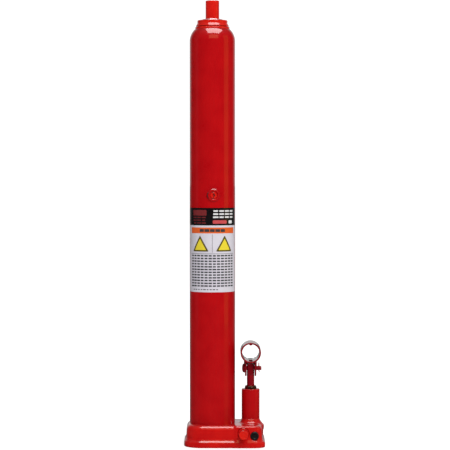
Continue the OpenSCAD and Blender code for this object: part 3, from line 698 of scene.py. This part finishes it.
# %% Filler boss and plug
boss_centre = centre_mm("filler_boss")
FILLER_Z = boss_centre.z
LEAN = math.atan2(boss_centre.x, -boss_centre.y)
lay = Matrix.Rotation(-LEAN, 4, "Z") @ TO_FRONT
FILLER_OUT = 34.6
profile = [(4.9, 30.5, 0), (8.9, 30.5, 0), (8.9, 31.7, 0.2), (8.0, 32.6, 0.9), (8.0, FILLER_OUT, 0.8),
           (6.1, FILLER_OUT, 0.4), (4.9, FILLER_OUT - 1.2, 0.2)]
turned_piece("filler_boss_welded", profile, 96, tube_enamel, (0, 0, FILLER_Z), lay,
             replaces=["filler_boss"], slot="red_enamel", sharp=60)
profile = [(0, 31, 0), (4.85, 31, 0), (4.85, FILLER_OUT - 1.3, 0.3), (4.0, FILLER_OUT - 0.45, 0.4),
           (2.1, FILLER_OUT - 0.45, 0.25), (1.9, FILLER_OUT - 2.4, 0.1), (0, FILLER_OUT - 2.6, 0)]
turned_piece("filler_plug_turned", profile, 96, nut_enamel, (0, 0, FILLER_Z), lay,
             replaces=["filler_plug"], slot="orange_red_enamel", sharp=60)
print("filler leans", round(math.degrees(LEAN), 1), "degrees")

# %% [markdown]
# ## The hand pump
# The pump is a smaller copy of the jack: a turned cylinder screwed into the boss, a bare steel
# gland that holds the packing, and a plunger. The flat on the plunger's head is milled, so it is
# cut out of the turned shape with a Boolean, which is also how the real one is made.

# %% Pump cylinder and gland
profile = [(PUMP_R - 3.6, BOSS_TOP, 0), (PUMP_R, BOSS_TOP, 0.2), (PUMP_R, 50, 0), (PUMP_R, 64, 0),
           (PUMP_R, pump_high.z, 1.2), (8.6, pump_high.z, 0.3), (8.3, pump_high.z - 0.6, 0.2),
           (8.3, 60, 0), (PUMP_R - 3.6, 60, 0)]
turned_piece("pump_barrel", profile, 144, tube_enamel, (PUMP_X, 0, 0),
             replaces=["pump_cylinder"], slot="red_enamel", sharp=60)
gland_high = box_mm("pump_gland")[1]
GLAND_R = radius_mm("pump_gland")
plunger_r = radius_mm("plunger")
profile = [(plunger_r + 0.05, 70, 0), (8.0, 70, 0), (8.0, pump_high.z - 0.4, 0.1),
           (GLAND_R, pump_high.z - 0.2, 0.2), (GLAND_R, gland_high.z - 1.6, 0.2),
           (GLAND_R - 0.5, gland_high.z - 1.3, 0.2),
           (GLAND_R - 0.5, gland_high.z, 0.8), (plunger_r + 0.9, gland_high.z, 0.3),
           (plunger_r + 0.05, gland_high.z - 0.9, 0.2)]
turned_piece("pump_gland_turned", profile, 128, dark_steel, (PUMP_X, 0, 0),
             replaces=["pump_gland"], slot="dark_steel", sharp=60)


# %% Plunger with its milled flat
def carved(name, shape, cutter, material, width=0.25, **where):
    """shape with cutter taken out of it, and its new edges broken by a bevel of that width."""
    body = piece_from(name + "_blank", *shape, material)
    tool = piece_from(name + "_tool", *cutter, material)
    cut = body.modifiers.new("Cut", "BOOLEAN")
    cut.object, cut.operation, cut.solver = tool, "DIFFERENCE", "EXACT"
    edge = body.modifiers.new("Break edges", "BEVEL")
    edge.width, edge.segments = width * MM, 2
    edge.limit_method, edge.angle_limit = "ANGLE", math.radians(40)
    graph = bpy.context.evaluated_depsgraph_get()
    mesh = bpy.data.meshes.new_from_object(body.evaluated_get(graph))
    for temporary in (body, tool):
        bpy.data.objects.remove(temporary)
    return finish_piece(name, mesh, material, **where)


def slab(outline, low, high):
    """A closed prism of an outline in the X-Z plane, from y = low to y = high."""
    n = len(outline)
    verts = [Vector((x, low, z)) for x, z in outline] + [Vector((x, high, z)) for x, z in outline]
    faces = [tuple(range(n)), tuple(range(2 * n - 1, n - 1, -1))]
    faces += [(k, k + n, (k + 1) % n + n, (k + 1) % n) for k in range(n)]
    return verts, faces


RUNOUT_R, FLAT_LOW, FLAT_DEPTH = 5.2, 97.0, 3.44
round_end = [(PUMP_X - RUNOUT_R * math.cos(a), FLAT_LOW + RUNOUT_R - RUNOUT_R * math.sin(a))
             for a in map(math.radians, range(0, 181, 6))]
cutter = slab(round_end + [(PUMP_X + RUNOUT_R, 120), (PUMP_X - RUNOUT_R, 120)], -9, -FLAT_DEPTH)
profile = [(0, plunger_low.z, 0), (plunger_r, plunger_low.z, 0.6), (plunger_r, 90, 0),
           (plunger_r, plunger_high.z, 1.8), (0, plunger_high.z, 0)]
plunger = carved("plunger_milled", placed(turned(profile, 96), PUMP_X), cutter, shaded_enamel, body="plunger",
                 replaces=["plunger"], slot="red_enamel", sharp=35)
print("plunger:", len(plunger.data.polygons), "faces")

# %% [markdown]
# ## The handle socket
# A short tube is welded on two cheeks cut from plate, and the welds are ground and painted over,
# so the joint reads as one soft fillet. The distance field gives that fillet, and the bore is cut
# last so that the handle still slides in.

# %% Socket tube and cheeks as one field
SOCKET_R = (socket_high.x - socket_low.x) / 2
SOCKET_Z = socket_high.z - SOCKET_R
BORE_R = SOCKET_R - 2.2
MOUTH, BACK = socket_low.y, 18.0
CHEEK_IN, CHEEK_OUT = 5.7, 7.9
CHEEK_R, LOBE_R = 10.4, 8.0


def socket_field(p):
    x, y, z = p.T
    across = np.hypot(x - PUMP_X, z - SOCKET_Z)
    wall = thick(across - SOCKET_R, y, MOUTH, BACK, 0.8)
    low_strap = strap(y, z, (0, PIN_Z), CHEEK_R, (REAR_PIN.y, REAR_PIN.z), LOBE_R)
    neck = strap(y, z, (0, PIN_Z), CHEEK_R, (2.6, SOCKET_Z - 8.5), 14.0)
    cheek = thick(smooth_join(low_strap, neck, 3.0), np.abs(x - PUMP_X), CHEEK_IN, CHEEK_OUT, 0.55)
    cheek = np.maximum(cheek, z - SOCKET_Z)
    whole = smooth_join(wall, cheek, 1.6)
    slot = thick(np.abs(x - PUMP_X) - 2.4, y, MOUTH + 2, 4, 1.0)
    slot = np.maximum(slot, z - SOCKET_Z)
    return smooth_cut(np.maximum(whole, BORE_R - across), slot, 0.5)


# The socket is drawn in the darker enamel, whose darkening is painted shade.
socket = piece_from("socket_welded", *cast(socket_field, socket_low, socket_high, 0.5), shaded_enamel, "socket",
                    ["handle_socket"], "red_enamel")
print("socket:", len(socket.data.polygons), "faces")

# %% Key at the mouth
# A small punched key at the top of the mouth enters a notch in the pump handle.
key_outline = [(PUMP_X + BORE_R * math.sin(a), SOCKET_Z + (BORE_R + 0.4) * math.cos(a))
               for a in np.radians(np.linspace(13, -13, 7))]
key_outline += [(PUMP_X + dx, SOCKET_Z + BORE_R - drop) for dx, drop in
                ((-2.0, 1.0), (-1.2, 1.6), (0, 1.8), (1.2, 1.6), (2.0, 1.0))]
piece_from("socket_key_punched", *slab(key_outline, MOUTH + 0.8, MOUTH + 7), shaded_enamel,
           body="socket", slot="red_enamel", sharp=40)

# %% [markdown]
# ## Pins and link
# The linkage is opened at its rear pin, so the link keeps some play round it. Pins are turned and
# laid on their side; the cotter is a bent wire, which is what a curve with a round bevel is for.

# %% Pins
TAIL = box_mm("plunger_pin")[1].x - PUMP_X
HEAD_OUT = PUMP_X - box_mm("plunger_pin")[0].x
PIN_R, PIN_HEAD_R, RIVET_R = 3.0, 6.35, 4.5
dome = [(0, -HEAD_OUT, 0), (2.6, -HEAD_OUT + 0.15, 1.0), (5.2, -HEAD_OUT + 0.9, 1.0),
        (PIN_HEAD_R, -HEAD_OUT + 2.4, 0.8), (PIN_HEAD_R, -CHEEK_OUT - 0.05, 0.25)]
profile = dome + [(PIN_R, -CHEEK_OUT - 0.05, 0), (PIN_R, TAIL, 0.9), (0, TAIL, 0)]
turned_piece("cross_pin", profile, 96, shaded_enamel, (PUMP_X, 0, PIN_Z), TO_RIGHT,
             body="socket", replaces=["plunger_pin"], slot="red_enamel", sharp=50)
rivet_out = box_mm("link_upper_pin")[1].x - PUMP_X
profile = [(0, -rivet_out, 0), (RIVET_R, -rivet_out, 0.7), (RIVET_R, -CHEEK_OUT, 0.1),
           (PIN_R, -CHEEK_OUT, 0), (PIN_R, CHEEK_OUT, 0), (RIVET_R, CHEEK_OUT, 0.1),
           (RIVET_R, rivet_out, 0.7), (0, rivet_out, 0)]
turned_piece("rear_rivet", profile, 72, tube_enamel, (PUMP_X, REAR_PIN.y, REAR_PIN.z), TO_RIGHT,
             body="socket", replaces=["link_upper_pin"], slot="red_enamel", sharp=50)


# %% Cotter pin as a bevelled curve
def wire(name, points_mm, radius, material, body, replaces, slot):
    """A round wire along points, closed at its ends."""
    curve = bpy.data.curves.new(name, "CURVE")
    curve.dimensions = "3D"
    curve.bevel_depth, curve.bevel_resolution, curve.use_fill_caps = radius * MM, 6, True
    spline = curve.splines.new("NURBS")
    spline.points.add(len(points_mm) - 1)
    for point, place in zip(spline.points, points_mm):
        point.co = (*(Vector(place) * MM), 1)
    spline.use_endpoint_u, spline.order_u, spline.resolution_u = True, 3, 6
    temporary = bpy.data.objects.new(name + "_curve", curve)
    bpy.context.scene.collection.objects.link(temporary)
    graph = bpy.context.evaluated_depsgraph_get()
    mesh = bpy.data.meshes.new_from_object(temporary.evaluated_get(graph))
    bpy.data.objects.remove(temporary)
    closed = bmesh.new()
    closed.from_mesh(mesh)
    bmesh.ops.remove_doubles(closed, verts=closed.verts, dist=1e-6)
    closed.to_mesh(mesh)
    closed.free()
    return finish_piece(name, mesh, material, body, replaces, slot, 60)


cotter = centre_mm("plunger_pin_cotter")
cx = cotter.x - 0.2
eye = [(cx, 1.7 * math.sin(a), PIN_Z + 5.7 - 1.7 * math.cos(a)) for a in np.radians(np.linspace(25, 335, 11))]
leg = [(cx, 0.35, PIN_Z + 3.4), (cx, 0.4, PIN_Z - 3.2),
       (cx + 0.3, 0.9, PIN_Z - 4.4), (cx + 0.6, 1.9, PIN_Z - 5.4)]
other = [(cx, -0.35, PIN_Z + 3.4), (cx, -0.4, PIN_Z - 3.2),
         (cx + 0.3, -1.0, PIN_Z - 4.2), (cx + 0.5, -2.2, PIN_Z - 4.8)]
wire("cotter_wire", leg[::-1] + eye + other, 0.62, tube_enamel, "socket", ["plunger_pin_cotter"],
     "red_enamel")

# %% Link bar
LINK_HALF = (link_high.x - link_low.x) / 2
LINK_TOP = (centre_mm("link").y, REAR_PIN.z)


def link_field(p):
    x, y, z = p.T
    top = np.hypot(y - LINK_TOP[0], z - LINK_TOP[1]) - 6.6
    foot = np.hypot(y - LINK_FOOT.y, z - LINK_FOOT.z) - 7.0
    bar = np.maximum(np.abs(y - LINK_TOP[0]) - 5.0, np.abs(z - 74.5) - 36)
    flat = smooth_join(smooth_join(top, foot, 0.1), bar, 3.0)
    solid = thick(flat, x, PUMP_X - LINK_HALF, PUMP_X + LINK_HALF, 0.7)
    eye = np.hypot(y - LINK_TOP[0], z - LINK_TOP[1]) - 4.1
    hole = np.hypot(y - LINK_FOOT.y, z - LINK_FOOT.z) - 3.05
    return smooth_cut(smooth_cut(solid, eye, 0.3), hole, 0.3)


piece_from("link_bar", *cast(link_field, link_low, link_high, 0.5), black_paint,
           body="link", replaces=["link"], slot="black_paint")
reach = box_mm("link_lower_pin")[1].x - PUMP_X
profile = [(0, -reach, 0), (PIN_R, -reach, 0.6), (PIN_R, reach, 0.6), (0, reach, 0)]
turned_piece("foot_pin", profile, 64, steel, (PUMP_X, LINK_FOOT.y, LINK_FOOT.z), TO_RIGHT,
             replaces=["link_lower_pin"], slot="steel", sharp=50)
print("link is", round(link_high.z - link_low.z, 1), "mm long")

# %% [markdown]
# ## Valves
# The release knob, its gland, the black cap of the safety valve and the plug on the right are all
# turned. The knob has a smooth rim with a soft edge and a shallow dished face.

# %% Release knob, gland, cap and side plug
knob_low, knob_high = box_mm("release_knob")
KNOB_R = radius_mm("release_knob")
knob = centre_mm("release_knob")
profile = [(0, -knob_high.y, 0), (3.95, -knob_high.y, 0), (KNOB_R - 0.2, -knob_high.y, 0.8),
           (KNOB_R, -knob_low.y, 1.1),
           (KNOB_R - 2.2, -knob_low.y, 0.4), (KNOB_R - 2.9, -knob_low.y - 0.35, 0.4),
           (0, -knob_low.y - 0.45, 0)]
turned_piece("release_knob_turned", profile, 96, nut_enamel, (knob.x, 0, knob.z), TO_FRONT,
             body="release_valve", replaces=["release_knob"], slot="orange_red_enamel", sharp=60)
gland_near, gland_far = box_mm("release_gland")
profile = [(4.05, -gland_far.y, 0), (7.5, -gland_far.y, 0), (7.5, -gland_near.y, 0.9),
           (4.9, -gland_near.y, 0.3), (4.05, -gland_near.y - 0.8, 0.2)]
turned_piece("release_gland_turned", profile, 96, cast_enamel, (GLAND.x, 0, GLAND.z), TO_FRONT,
             replaces=["release_gland"], slot="red_enamel", sharp=60)
cap_near = box_mm("safety_cap")[0].y
profile = [(0, 40, 0), (CAP_R, 40, 0), (CAP_R, -cap_near - 0.5, 0.5), (CAP_R - 0.9, -cap_near, 0.6),
           (CAP_R - 2.2, -cap_near, 0.4), (CAP_R - 2.8, -cap_near - 0.8, 0.4), (0, -cap_near - 0.9, 0)]
turned_piece("safety_cap_moulded", profile, 96, black_plastic, (CAP.x, 0, CAP.z), TO_FRONT,
             replaces=["safety_cap"], slot="black_plastic", sharp=60)
side_high = box_mm("discharge_plug")[1].x
hexagon = [(2.2 * math.cos(math.radians(60 * k)), 2.2 * math.sin(math.radians(60 * k))) for k in range(6)]
cutter = [Vector((z, x + SIDE.y, y + SIDE.z)) for z in (side_high - 1.9, side_high + 2) for x, y in hexagon]
cutter_faces = [tuple(range(5, -1, -1)), tuple(range(6, 12))]
cutter_faces += [(k, (k + 1) % 6, (k + 1) % 6 + 6, k + 6) for k in range(6)]
profile = [(0, 60, 0), (4, 60, 0), (4, side_high - 3, 0), (5, side_high - 3, 0),
           (5, side_high, 1.0), (0, side_high, 0)]
carved("side_plug_turned", placed(turned(profile, 64), 0, SIDE.y, SIDE.z, TO_RIGHT), (cutter, cutter_faces),
       tube_enamel, 0.12, replaces=["discharge_plug"], slot="red_enamel", sharp=40)

# %% [markdown]
# ## The label
# A printed vinyl label wraps the front of the tube. A flat drawing is laid on the tube by a formula:
# distance along the label becomes an angle round the axis. The drawing is cut into narrow strips
# first, because a long flat face can't bend. The print is plain bars, a band and two triangles: it
# stands in for wording and says nothing.

# %% Wrap a flat outline round the tube
STRIP = 1.2


def wrapped(name, outline, lift, depth, material, replaces=(), slot=None):
    """A flat outline (distance round the tube, height) as a thin skin on the tube."""
    flat = bmesh.new()
    flat.faces.new([flat.verts.new((u, v, 0)) for u, v in outline])
    left, right = min(u for u, _ in outline), max(u for u, _ in outline)
    for cut in np.arange(math.ceil(left / STRIP) * STRIP, right, STRIP):
        everything = flat.verts[:] + flat.edges[:] + flat.faces[:]
        bmesh.ops.bisect_plane(flat, geom=everything, plane_co=(cut, 0, 0), plane_no=(1, 0, 0), dist=1e-5)
    skin = bmesh.ops.extrude_face_region(flat, geom=flat.faces[:])
    for v in [g for g in skin["geom"] if isinstance(g, bmesh.types.BMVert)]:
        v.co.z = depth
    for v in flat.verts:
        a, r = v.co.x / TUBE_R, TUBE_R + lift + v.co.z
        v.co = Vector((r * math.sin(a), -r * math.cos(a), v.co.y)) * MM
    bmesh.ops.recalc_face_normals(flat, faces=flat.faces)
    mesh = bpy.data.meshes.new(name)
    flat.to_mesh(mesh)
    flat.free()
    return finish_piece(name, mesh, material, replaces=replaces, slot=slot, sharp=40)


def soft_rectangle(left, right, low, high, corner):
    """The outline of a rectangle with round corners."""
    points, steps = [], 4
    for cx, cy, start in ((right - corner, high - corner, 0), (left + corner, high - corner, 90),
                          (left + corner, low + corner, 180), (right - corner, low + corner, 270)):
        for k in range(steps + 1):
            a = math.radians(start + 90 * k / steps)
            points.append((cx + corner * math.cos(a), cy + corner * math.sin(a)))
    return points


header_low, header_high = box_mm("label_header")
panel_low, panel_high = box_mm("label_panel")
LABEL_HALF = TUBE_R * math.radians(77)
SKIN = 0.14
header_outline = soft_rectangle(-LABEL_HALF, LABEL_HALF, header_low.z, header_high.z, 1.2)
panel_outline = soft_rectangle(-LABEL_HALF, LABEL_HALF, panel_low.z, panel_high.z, 1.2)
wrapped("label_header_skin", header_outline, 0, SKIN, vinyl_black, ["label_header"], "label_black")
wrapped("label_panel_skin", panel_outline, 0, SKIN, vinyl_white, ["label_panel"], "label_white")

# %% Solid areas of print
INK = 0.03
TRIANGLE_W, TRIANGLE_H, TRIANGLE_U, TRIANGLE_Z = 26.0, 22.4, 17.9, 271.0


def triangle(centre, low, width, height, corner):
    """A triangle that points up, with round corners."""
    left, right = Vector((centre - width / 2, low)), Vector((centre + width / 2, low))
    corners = [left, right, Vector((centre, low + height))]
    points = []
    for i, here in enumerate(corners):
        before, after = corners[i - 1] - here, corners[(i + 1) % 3] - here
        start, end = here + before.normalized() * corner, here + after.normalized() * corner
        points += [tuple(start.lerp(here, t).lerp(here.lerp(end, t), t)) for t in np.linspace(0, 1, 5)]
    return points


wrapped("print_band", soft_rectangle(-35.2, 36.4, 296.2, 304.3, 0.8), SKIN, INK, ink_orange)
for side_name, u in (("left", -TRIANGLE_U), ("right", TRIANGLE_U)):
    border = triangle(u, TRIANGLE_Z, TRIANGLE_W, TRIANGLE_H, 2.0)
    field = triangle(u, TRIANGLE_Z + 2.0, TRIANGLE_W - 7.4, TRIANGLE_H - 6.4, 1.2)
    wrapped("print_triangle_edge_" + side_name, border, SKIN, INK, ink_olive)
    wrapped("print_triangle_" + side_name, field, SKIN + INK, INK, ink_yellow)
wrapped("print_divider", soft_rectangle(-0.25, 0.25, 269.5, 295.0, 0.2), SKIN, INK, ink_grey)
wrapped("print_rule", soft_rectangle(-36, 36, 267.7, 268.2, 0.2), SKIN, INK, ink_grey)
wrapped("print_header_block", soft_rectangle(-31, -8, 320.8, 328.6, 1.0), SKIN, INK, ink_maroon)
wrapped("print_header_pill", soft_rectangle(0.5, 21.5, 309.6, 314.4, 1.6), SKIN, INK, ink_red)
wrapped("print_header_tab", soft_rectangle(25, 32, 309.8, 314.2, 0.8), SKIN, INK, ink_pale)

# %% [markdown]
# Rows of small bars repeat many times, so they are a job for Geometry Nodes. One tree makes a row
# of bars with random lengths, stacks the rows, and wraps them on the tube with the same formula.
# Its sizes are named inputs, so the fine print and the header lines are the same tree.

# %% Geometry Nodes tree for rows of print
rows_tree = bpy.data.node_groups.new("Printed rows", "GeometryNodeTree")
ROW_INPUTS = (("Rows", "Int", 12), ("Words", "Int", 14), ("Left", "Float", -0.035), ("Width", "Float", 0.07),
              ("Top", "Float", 0.2657), ("Pitch", "Float", 0.0038), ("Bar height", "Float", 0.0014),
              ("Shortest", "Float", 0.5), ("Radius", "Float", 0.0319), ("Thickness", "Float", 0.00003),
              ("Seed", "Int", 7))
for label, kind, value in ROW_INPUTS:
    entry = rows_tree.interface.new_socket(label, in_out="INPUT", socket_type="NodeSocket" + kind)
    entry.default_value = value
rows_tree.interface.new_socket("Ink", in_out="INPUT", socket_type="NodeSocketMaterial")
rows_tree.interface.new_socket("Geometry", in_out="OUTPUT", socket_type="NodeSocketGeometry")
rows_in = rows_tree.nodes.new("NodeGroupInput").outputs
rows_out = rows_tree.nodes.new("NodeGroupOutput")


def gn(kind, *links, **settings):
    """A node in the rows tree, with its first sockets linked in order."""
    made = rows_tree.nodes.new(kind)
    for key, value in settings.items():
        setattr(made, key, value)
    for entry, value in zip([e for e in made.inputs if e.enabled], links):
        if value is not None:
            put(rows_tree, entry, value)
    return made


def calc(operation, a, b=0.0):
    return gn("ShaderNodeMath", a, b, operation=operation).outputs[0]


count = calc("MULTIPLY", rows_in["Rows"], rows_in["Words"])
dots = gn("GeometryNodePoints", count)
index = gn("GeometryNodeInputIndex").outputs[0]
row = calc("FLOOR", calc("DIVIDE", index, rows_in["Words"]))
column = calc("SUBTRACT", index, calc("MULTIPLY", row, rows_in["Words"]))
cell_width = calc("DIVIDE", rows_in["Width"], rows_in["Words"])
chance = gn("FunctionNodeRandomValue", data_type="FLOAT")
floats = [e for e in chance.inputs if e.enabled]
put(rows_tree, floats[0], rows_in["Shortest"])
put(rows_tree, floats[1], 0.90)
rows_tree.links.new(index, chance.inputs["ID"])
rows_tree.links.new(rows_in["Seed"], chance.inputs["Seed"])
length = calc("MULTIPLY", [o for o in chance.outputs if o.enabled][0], cell_width)
start = calc("ADD", rows_in["Left"], calc("MULTIPLY", calc("ADD", column, 0.5), cell_width))
down = calc("SUBTRACT", rows_in["Top"], calc("MULTIPLY", row, rows_in["Pitch"]))
spot = gn("ShaderNodeCombineXYZ", start, down, 0.0).outputs[0]
laid = gn("GeometryNodeSetPosition", dots.outputs[0])
rows_tree.links.new(spot, laid.inputs["Position"])
bar = gn("GeometryNodeMeshCube", (1, 1, 1), 5, 2, 2)
size = gn("ShaderNodeCombineXYZ", length, rows_in["Bar height"], rows_in["Thickness"]).outputs[0]
copies = gn("GeometryNodeInstanceOnPoints", laid.outputs[0], None, bar.outputs[0])
rows_tree.links.new(size, copies.inputs["Scale"])
real = gn("GeometryNodeRealizeInstances", copies.outputs[0])
place = gn("ShaderNodeSeparateXYZ", gn("GeometryNodeInputPosition").outputs[0])
angle = calc("DIVIDE", place.outputs["X"], rows_in["Radius"])
radius = calc("ADD", rows_in["Radius"], place.outputs["Z"])
round_x = calc("MULTIPLY", radius, calc("SINE", angle))
round_y = calc("MULTIPLY", calc("MULTIPLY", radius, calc("COSINE", angle)), -1.0)
on_tube = gn("ShaderNodeCombineXYZ", round_x, round_y, place.outputs["Y"]).outputs[0]
bent = gn("GeometryNodeSetPosition", real.outputs[0])
rows_tree.links.new(on_tube, bent.inputs["Position"])
inked = gn("GeometryNodeSetMaterial", bent.outputs[0])
rows_tree.links.new(rows_in["Ink"], inked.inputs["Material"])
rows_tree.links.new(inked.outputs[0], rows_out.inputs[0])


# %% Print the rows
def printed_rows(name, ink, **values):
    """Bakes the tree to a plain mesh with these inputs."""
    holder = bpy.data.objects.new(name + "_rows", bpy.data.meshes.new(name + "_rows"))
    bpy.context.scene.collection.objects.link(holder)
    modifier = holder.modifiers.new("Rows", "NODES")
    modifier.node_group = rows_tree
    entries = [entry for entry in rows_tree.interface.items_tree if entry.in_out == "INPUT"]
    named = {entry.name: entry.identifier for entry in entries}
    modifier[named["Ink"]] = ink
    modifier[named["Radius"]] = (TUBE_R + SKIN + INK / 2) * MM
    for key, value in values.items():
        modifier[named[key.replace("_", " ")]] = value
    holder.update_tag()
    graph = bpy.context.evaluated_depsgraph_get()
    mesh = bpy.data.meshes.new_from_object(holder.evaluated_get(graph))
    holder.modifiers.remove(modifier)
    bpy.data.objects.remove(holder)
    print(name, "has", len(mesh.polygons), "faces")
    return finish_piece(name, mesh, ink, sharp=30)


printed_rows("print_fine_rows", ink_grey, Rows=12, Words=12, Top=0.2652, Pitch=0.00381, Bar_height=0.0020,
             Shortest=0.66, Seed=4)
printed_rows("print_foot_row", ink_grey, Rows=1, Words=9, Top=0.2183, Bar_height=0.0012,
             Left=-0.031, Width=0.040)
printed_rows("print_header_rows", ink_pale, Rows=3, Words=4, Left=0.0005, Width=0.0345, Top=0.3272,
             Pitch=0.0043, Bar_height=0.0022, Shortest=0.7, Seed=2)
printed_rows("print_header_notes", ink_maroon, Rows=3, Words=3, Left=-0.031, Width=0.0225, Top=0.3182,
             Pitch=0.0038, Bar_height=0.0014, Seed=3)
printed_rows("print_band_row", ink_dark, Rows=1, Words=5, Left=-0.019, Width=0.038, Top=0.3002,
             Bar_height=0.0040, Shortest=0.8, Seed=5, Radius=(TUBE_R + SKIN + 1.6 * INK) * MM)

# %% [markdown]
# ## Studio
# A pale floor runs out to a pale horizon. The enamel is nearly a mirror, so the lights are large
# soft panels, placed for what they draw in the paint: one overhead and one warm one in front for
# the shoulder, and one on each side for the long edges. A fill in front lights the film itself. The
# room in front of the jack is dim, which keeps the red deep.

# %% Floor
# Seen directly the floor is pale, and lit a little from below like a light table. Seen in the
# enamel it is dim, as if a dark cloth lay in front of the jack, or else its glare would wash the
# red out.
floor_material, tree, shader = new_material("pale floor", (0.9, 0.9, 0.9), Roughness=0.30)
rays = tree.nodes.new("ShaderNodeLightPath")
shader.inputs["Emission Color"].default_value = (1, 1, 1, 1)
tree.links.new(ranged(tree, rays.outputs["Is Camera Ray"], 0, 1, 0, 0.45), shader.inputs["Emission Strength"])
place = tree.nodes.new("ShaderNodeTexCoord").outputs["Object"]
cloud = noise(tree, place, 3.0, 3.0, 0.5)
pale = mixed(tree, cloud, (0.90, 0.90, 0.90, 1), (0.93, 0.93, 0.93, 1))
floor_colour = mixed(tree, rays.outputs["Is Glossy Ray"], pale, (0.05, 0.03, 0.03, 1))
tree.links.new(floor_colour, shader.inputs["Base Color"])
ground = bmesh.new()
bmesh.ops.create_circle(ground, cap_ends=True, segments=96, radius=60)
floor_mesh = bpy.data.meshes.new("studio_floor")
ground.to_mesh(floor_mesh)
ground.free()
floor_mesh.materials.append(floor_material)
floor = bpy.data.objects.new("studio_floor", floor_mesh)
bpy.context.scene.collection.objects.link(floor)

# %% Room light
# The world answers each kind of ray: pale to the camera, even to matt surfaces, and to glossy ones
# a bright room behind the jack and a dim one in front. The sky is only met by rays that the
# surfaces send out, because a ray aimed at it directly couldn't tell which kind it is.
world = bpy.data.worlds.new("studio")
bpy.context.scene.world = world
world.use_nodes = True
world.cycles.sampling_method = "NONE"
tree = world.node_tree
tree.nodes.clear()
out = tree.nodes.new("ShaderNodeOutputWorld")
rays = tree.nodes.new("ShaderNodeLightPath")
toward = tree.nodes.new("ShaderNodeTexCoord").outputs["Generated"]
split = tree.nodes.new("ShaderNodeSeparateXYZ")
tree.links.new(toward, split.inputs[0])
behind = ranged(tree, split.outputs["Y"], 0.55, 0.98, 0.015, 0.6)
gloss_colour = tree.nodes.new("ShaderNodeCombineColor")
for entry in gloss_colour.inputs[:3]:
    tree.links.new(behind, entry)
even = ranged(tree, rays.outputs["Is Camera Ray"], 0, 1, 0.74, 1.1)
pale = tree.nodes.new("ShaderNodeCombineColor")
for entry in pale.inputs[:3]:
    tree.links.new(even, entry)
seen = mixed(tree, rays.outputs["Is Glossy Ray"], pale.outputs[0], gloss_colour.outputs[0])
backdrop = tree.nodes.new("ShaderNodeBackground")
tree.links.new(seen, backdrop.inputs["Color"])
backdrop.inputs["Strength"].default_value = 1.0
tree.links.new(backdrop.outputs[0], out.inputs["Surface"])


# %% Soft panels
def panel(name, place, aim, width, height, radiance, colour=(1, 1, 1)):
    """An area light whose brightness is given by how bright it looks, not by its watts."""
    light = bpy.data.lights.new(name, "AREA")
    light.shape, light.size, light.size_y = "RECTANGLE", width, height
    light.energy, light.color = radiance * width * height * math.pi, colour
    holder = bpy.data.objects.new(name, light)
    holder.location = place
    holder.rotation_euler = (Vector(aim) - Vector(place)).to_track_quat("-Z", "Y").to_euler()
    bpy.context.scene.collection.objects.link(holder)
    return holder


overhead = panel("overhead softbox", (0.20, -0.40, 2.0), (0.20, -0.25, 0.5), 1.5, 1.25, 8.0)
shoulder = panel("warm softbox", (0.2, -1.7, 1.5), (0, 0, 0.4), 1.6, 0.9, 1.3, (1.0, 0.62, 0.30))
panel("left side", (-1.9, -0.2, 0.6), (0, 0, 0.35), 0.5, 1.8, 0.06, (0.70, 0.75, 1.0))
panel("right side", (1.8, -0.5, 0.7), (0, 0, 0.35), 0.9, 1.8, 0.30, (1.0, 0.80, 0.15))
key = panel("front fill", (0.8, -2.2, 1.7), (0, 0, 0.3), 1.4, 1.4, 8.2)
overhead.visible_diffuse = shoulder.visible_diffuse = key.visible_glossy = False

# %% Camera
# The camera stands about two and a half metres away, a little right of the ram and at three fifths
# of the jack's height, with a long lens.
bpy.context.scene.view_settings.view_transform = "Standard"
DISTANCE, EYE_X, EYE_Z, AIM_Z, LENS = 2.53, 0.0176, 0.377, 0.307, 144.6
camera = bpy.data.cameras.new("camera")
camera.lens, camera.sensor_width, camera.clip_start, camera.clip_end = LENS, 36, 0.1, 200
eye = bpy.data.objects.new("camera", camera)
eye.location = (EYE_X, -DISTANCE, EYE_Z)
eye.rotation_euler = (math.radians(90) - math.atan((EYE_Z - AIM_Z) / DISTANCE), 0, 0)
bpy.context.scene.collection.objects.link(eye)
bpy.context.scene.camera = eye
